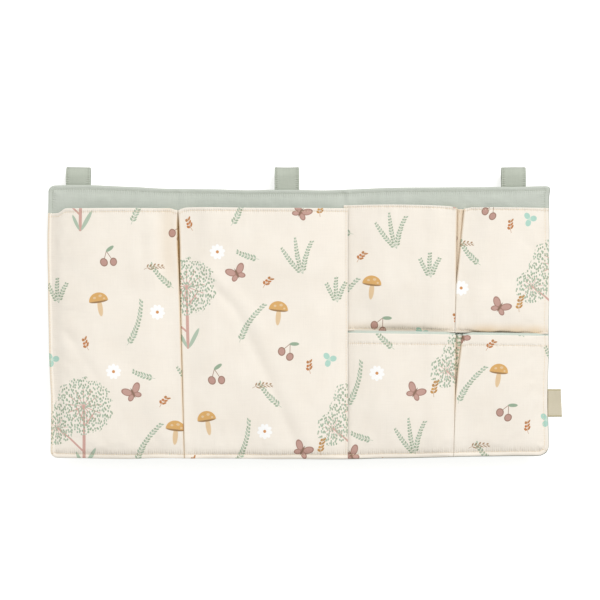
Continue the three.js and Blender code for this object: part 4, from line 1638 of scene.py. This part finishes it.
# Side tag: a woven ribbon folded in half, its cut ends caught in the panel's right-hand seam.
# It is plain linen-coloured cloth with khaki selvedges.
tag_low, tag_high = (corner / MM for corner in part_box("woven_side_tag"))
tag_thickness = 0.35
tag_layer_gap = 0.5
tag_sunk = 1.4
tag_curl, curl_below, curl_rise = 1.2, 4, 20
tag_lean = 0.045
selvedge_from, selvedge_strength = 0.0136, 0.8
seam_shadow_slope, seam_shadow_start = -400.0, 1.1


def ribbon_dye(wires, flat):
    """Natural linen-coloured ribbon with khaki selvedges along its two long edges, and a painted shadow in
    tan where it comes out of the seam.
    """
    along, up, _ = wires.split(flat)
    selvedge = (abs(up) > selvedge_from) * selvedge_strength
    ground = wires.mix(wires.noise(flat, 60.0, 3.0), linear("#c8c0a7"), linear("#d4ccb7"))
    colour = wires.mix(selvedge, ground, linear("#b5ab84"))
    # Painted shadow: tan towards the end that goes into the seam.
    seam_shadow = wires.calc("MULTIPLY_ADD", along, seam_shadow_slope, seam_shadow_start, clamped=True)
    return wires.mix(seam_shadow, colour, linear("#c2ab7d"))


# Its fold colour is the painted shade in the small folds at the seams.
tag_ribbon = cotton_material(
    "tag ribbon", colour_of=ribbon_dye, roughness=0.62, bump=0.6, thread=0.0004, slub=0.4,
    fold_shade_colour="#b5a37a",
)


def tag_mesh():
    """The ribbon out from the seam, round its fold and back, leaning and curling a little."""
    radius = (tag_layer_gap + tag_thickness) / 2
    reach = tag_high.x - tag_low.x - radius
    run = np.linspace(0, reach, 12)
    turn = np.linspace(0, np.pi, 9)[1:-1]
    x = np.concatenate([run, reach + radius * np.sin(turn), run[::-1]])
    y = np.concatenate([0 * run - radius, -radius * np.cos(turn), 0 * run + radius])
    height = np.linspace(-1, 1, 25)[:, None] * (tag_high.z - tag_low.z) / 2
    steps = np.hypot(np.gradient(x), np.gradient(y))
    normal_x, normal_y = np.gradient(y) / steps, -np.gradient(x) / steps
    curl = tag_curl * (x / reach) ** 2 * ease((height + curl_below) / curl_rise)
    z = (tag_low.z + tag_high.z) / 2 + height + 0 * x
    outer, inner = (
        np.stack([
            tag_low.x + x + out * normal_x - tag_sunk - tag_lean * height * x / reach,
            panel_middle + y + out * normal_y - curl,
            z,
        ], axis=-1)
        for out in (tag_thickness / 2, -tag_thickness / 2)
    )
    return sheet_mesh("side_tag_ribbon", outer, inner, np.cumsum(steps) + 0 * height, height + 0 * x)


tag = tag_mesh()
place_piece(tag, "panel", "woven_side_tag", tag_ribbon)

# Studio: a plain white wall just behind the caddy, a pale floor below it, and soft light from the
# upper right. The camera stands straight in front, far off.
wall_gap = 3
wall_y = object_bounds()[1][1] + wall_gap * MM
floor_z = -0.75
studio_half_width, studio_top, studio_front = 3, 3, -4
backdrop_grey, backdrop_glow = 0.86, 0.53


def backdrop_material():
    """White paper that is clear from behind, so that the caddy's back can be looked at through it."""
    material, wires, shader = new_material("white backdrop")
    wires.feed(shader, {
        "Base Color": (backdrop_grey, backdrop_grey, backdrop_grey, 1),
        "Roughness": 1,
        "Specular IOR Level": 0,
        "Emission Color": (1, 1, 1, 1),
        "Emission Strength": backdrop_glow,
    })
    clear = wires.add("ShaderNodeBsdfTransparent", {})
    behind = wires.add("ShaderNodeNewGeometry", {}, "Backfacing")
    seen = wires.add("ShaderNodeMixShader", {0: behind, 1: wires.out(shader), 2: clear})
    wires.feed(material.node_tree.nodes["Material Output"], {"Surface": seen})
    return material


def plain_plane(name, corners, material):
    mesh = bpy.data.meshes.new(name)
    mesh.from_pydata(corners, [], [(0, 1, 2, 3)])
    mesh.materials.append(material)
    plane = new_object(name, mesh)
    plane.visible_diffuse = plane.visible_glossy = plane.visible_shadow = False
    plane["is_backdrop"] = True


backdrop = backdrop_material()
ends = (-studio_half_width, studio_half_width)
foot_of_wall = [(x, wall_y, floor_z) for x in ends]
plain_plane("wall", foot_of_wall + [(x, wall_y, studio_top) for x in ends[::-1]], backdrop)
plain_plane("floor", [(x, studio_front, floor_z) for x in ends] + foot_of_wall[::-1], backdrop)


def area_light(name, stands_at, aims_at, size, power):
    """A soft lamp that aims at a point."""
    light = bpy.data.lights.new(name, "AREA")
    light.shape = "RECTANGLE"
    light.size, light.size_y = size
    light.energy = power
    lamp = new_object(name, light)
    lamp.location = stands_at
    direction = lamp.location.copy()
    direction[:] = [to - at for to, at in zip(aims_at, stands_at)]
    lamp.rotation_euler = direction.to_track_quat("-Z", "Y").to_euler()


panel_centre = (0, 0, -0.15)
area_light("key light", stands_at=(2.5, -5.3, 4.0), aims_at=panel_centre, size=(4.0, 3.6), power=298)
area_light("fill light", stands_at=(-2.2, -3.2, 0.8), aims_at=panel_centre, size=(2.4, 2.4), power=14)
white, warm_white = (1, 1, 1, 1), (1, 0.985, 0.96, 1)
world_light = 0.61
world = bpy.data.worlds.new("studio")
world.use_nodes = True
sky = Wiring(world.node_tree)
seen = sky.add("ShaderNodeLightPath", {}, "Is Camera Ray")
sky.feed(world.node_tree.nodes["Background"], {
    "Color": sky.mix(seen, warm_white, white),
    "Strength": seen * (1 - world_light) + world_light,
})
bpy.context.scene.world = world
bpy.context.scene.view_settings.view_transform = "Standard"

photo_width = 660
camera_lens, camera_sensor = 250, 36
camera_distance = photo_width * camera_lens / camera_sensor
camera_x, camera_z = 1.5, -136
camera_reach = 50
camera_data = bpy.data.cameras.new("camera")
camera_data.lens = camera_lens
camera_data.sensor_width = camera_sensor
camera_data.clip_end = camera_reach
camera = new_object("camera", camera_data)
camera.location = (camera_x * MM, (panel_front - camera_distance) * MM, camera_z * MM)
camera.rotation_euler = (math.pi / 2, 0, 0)
bpy.context.scene.camera = camera

sizes = {"cad": cad_box, "visual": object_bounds()}
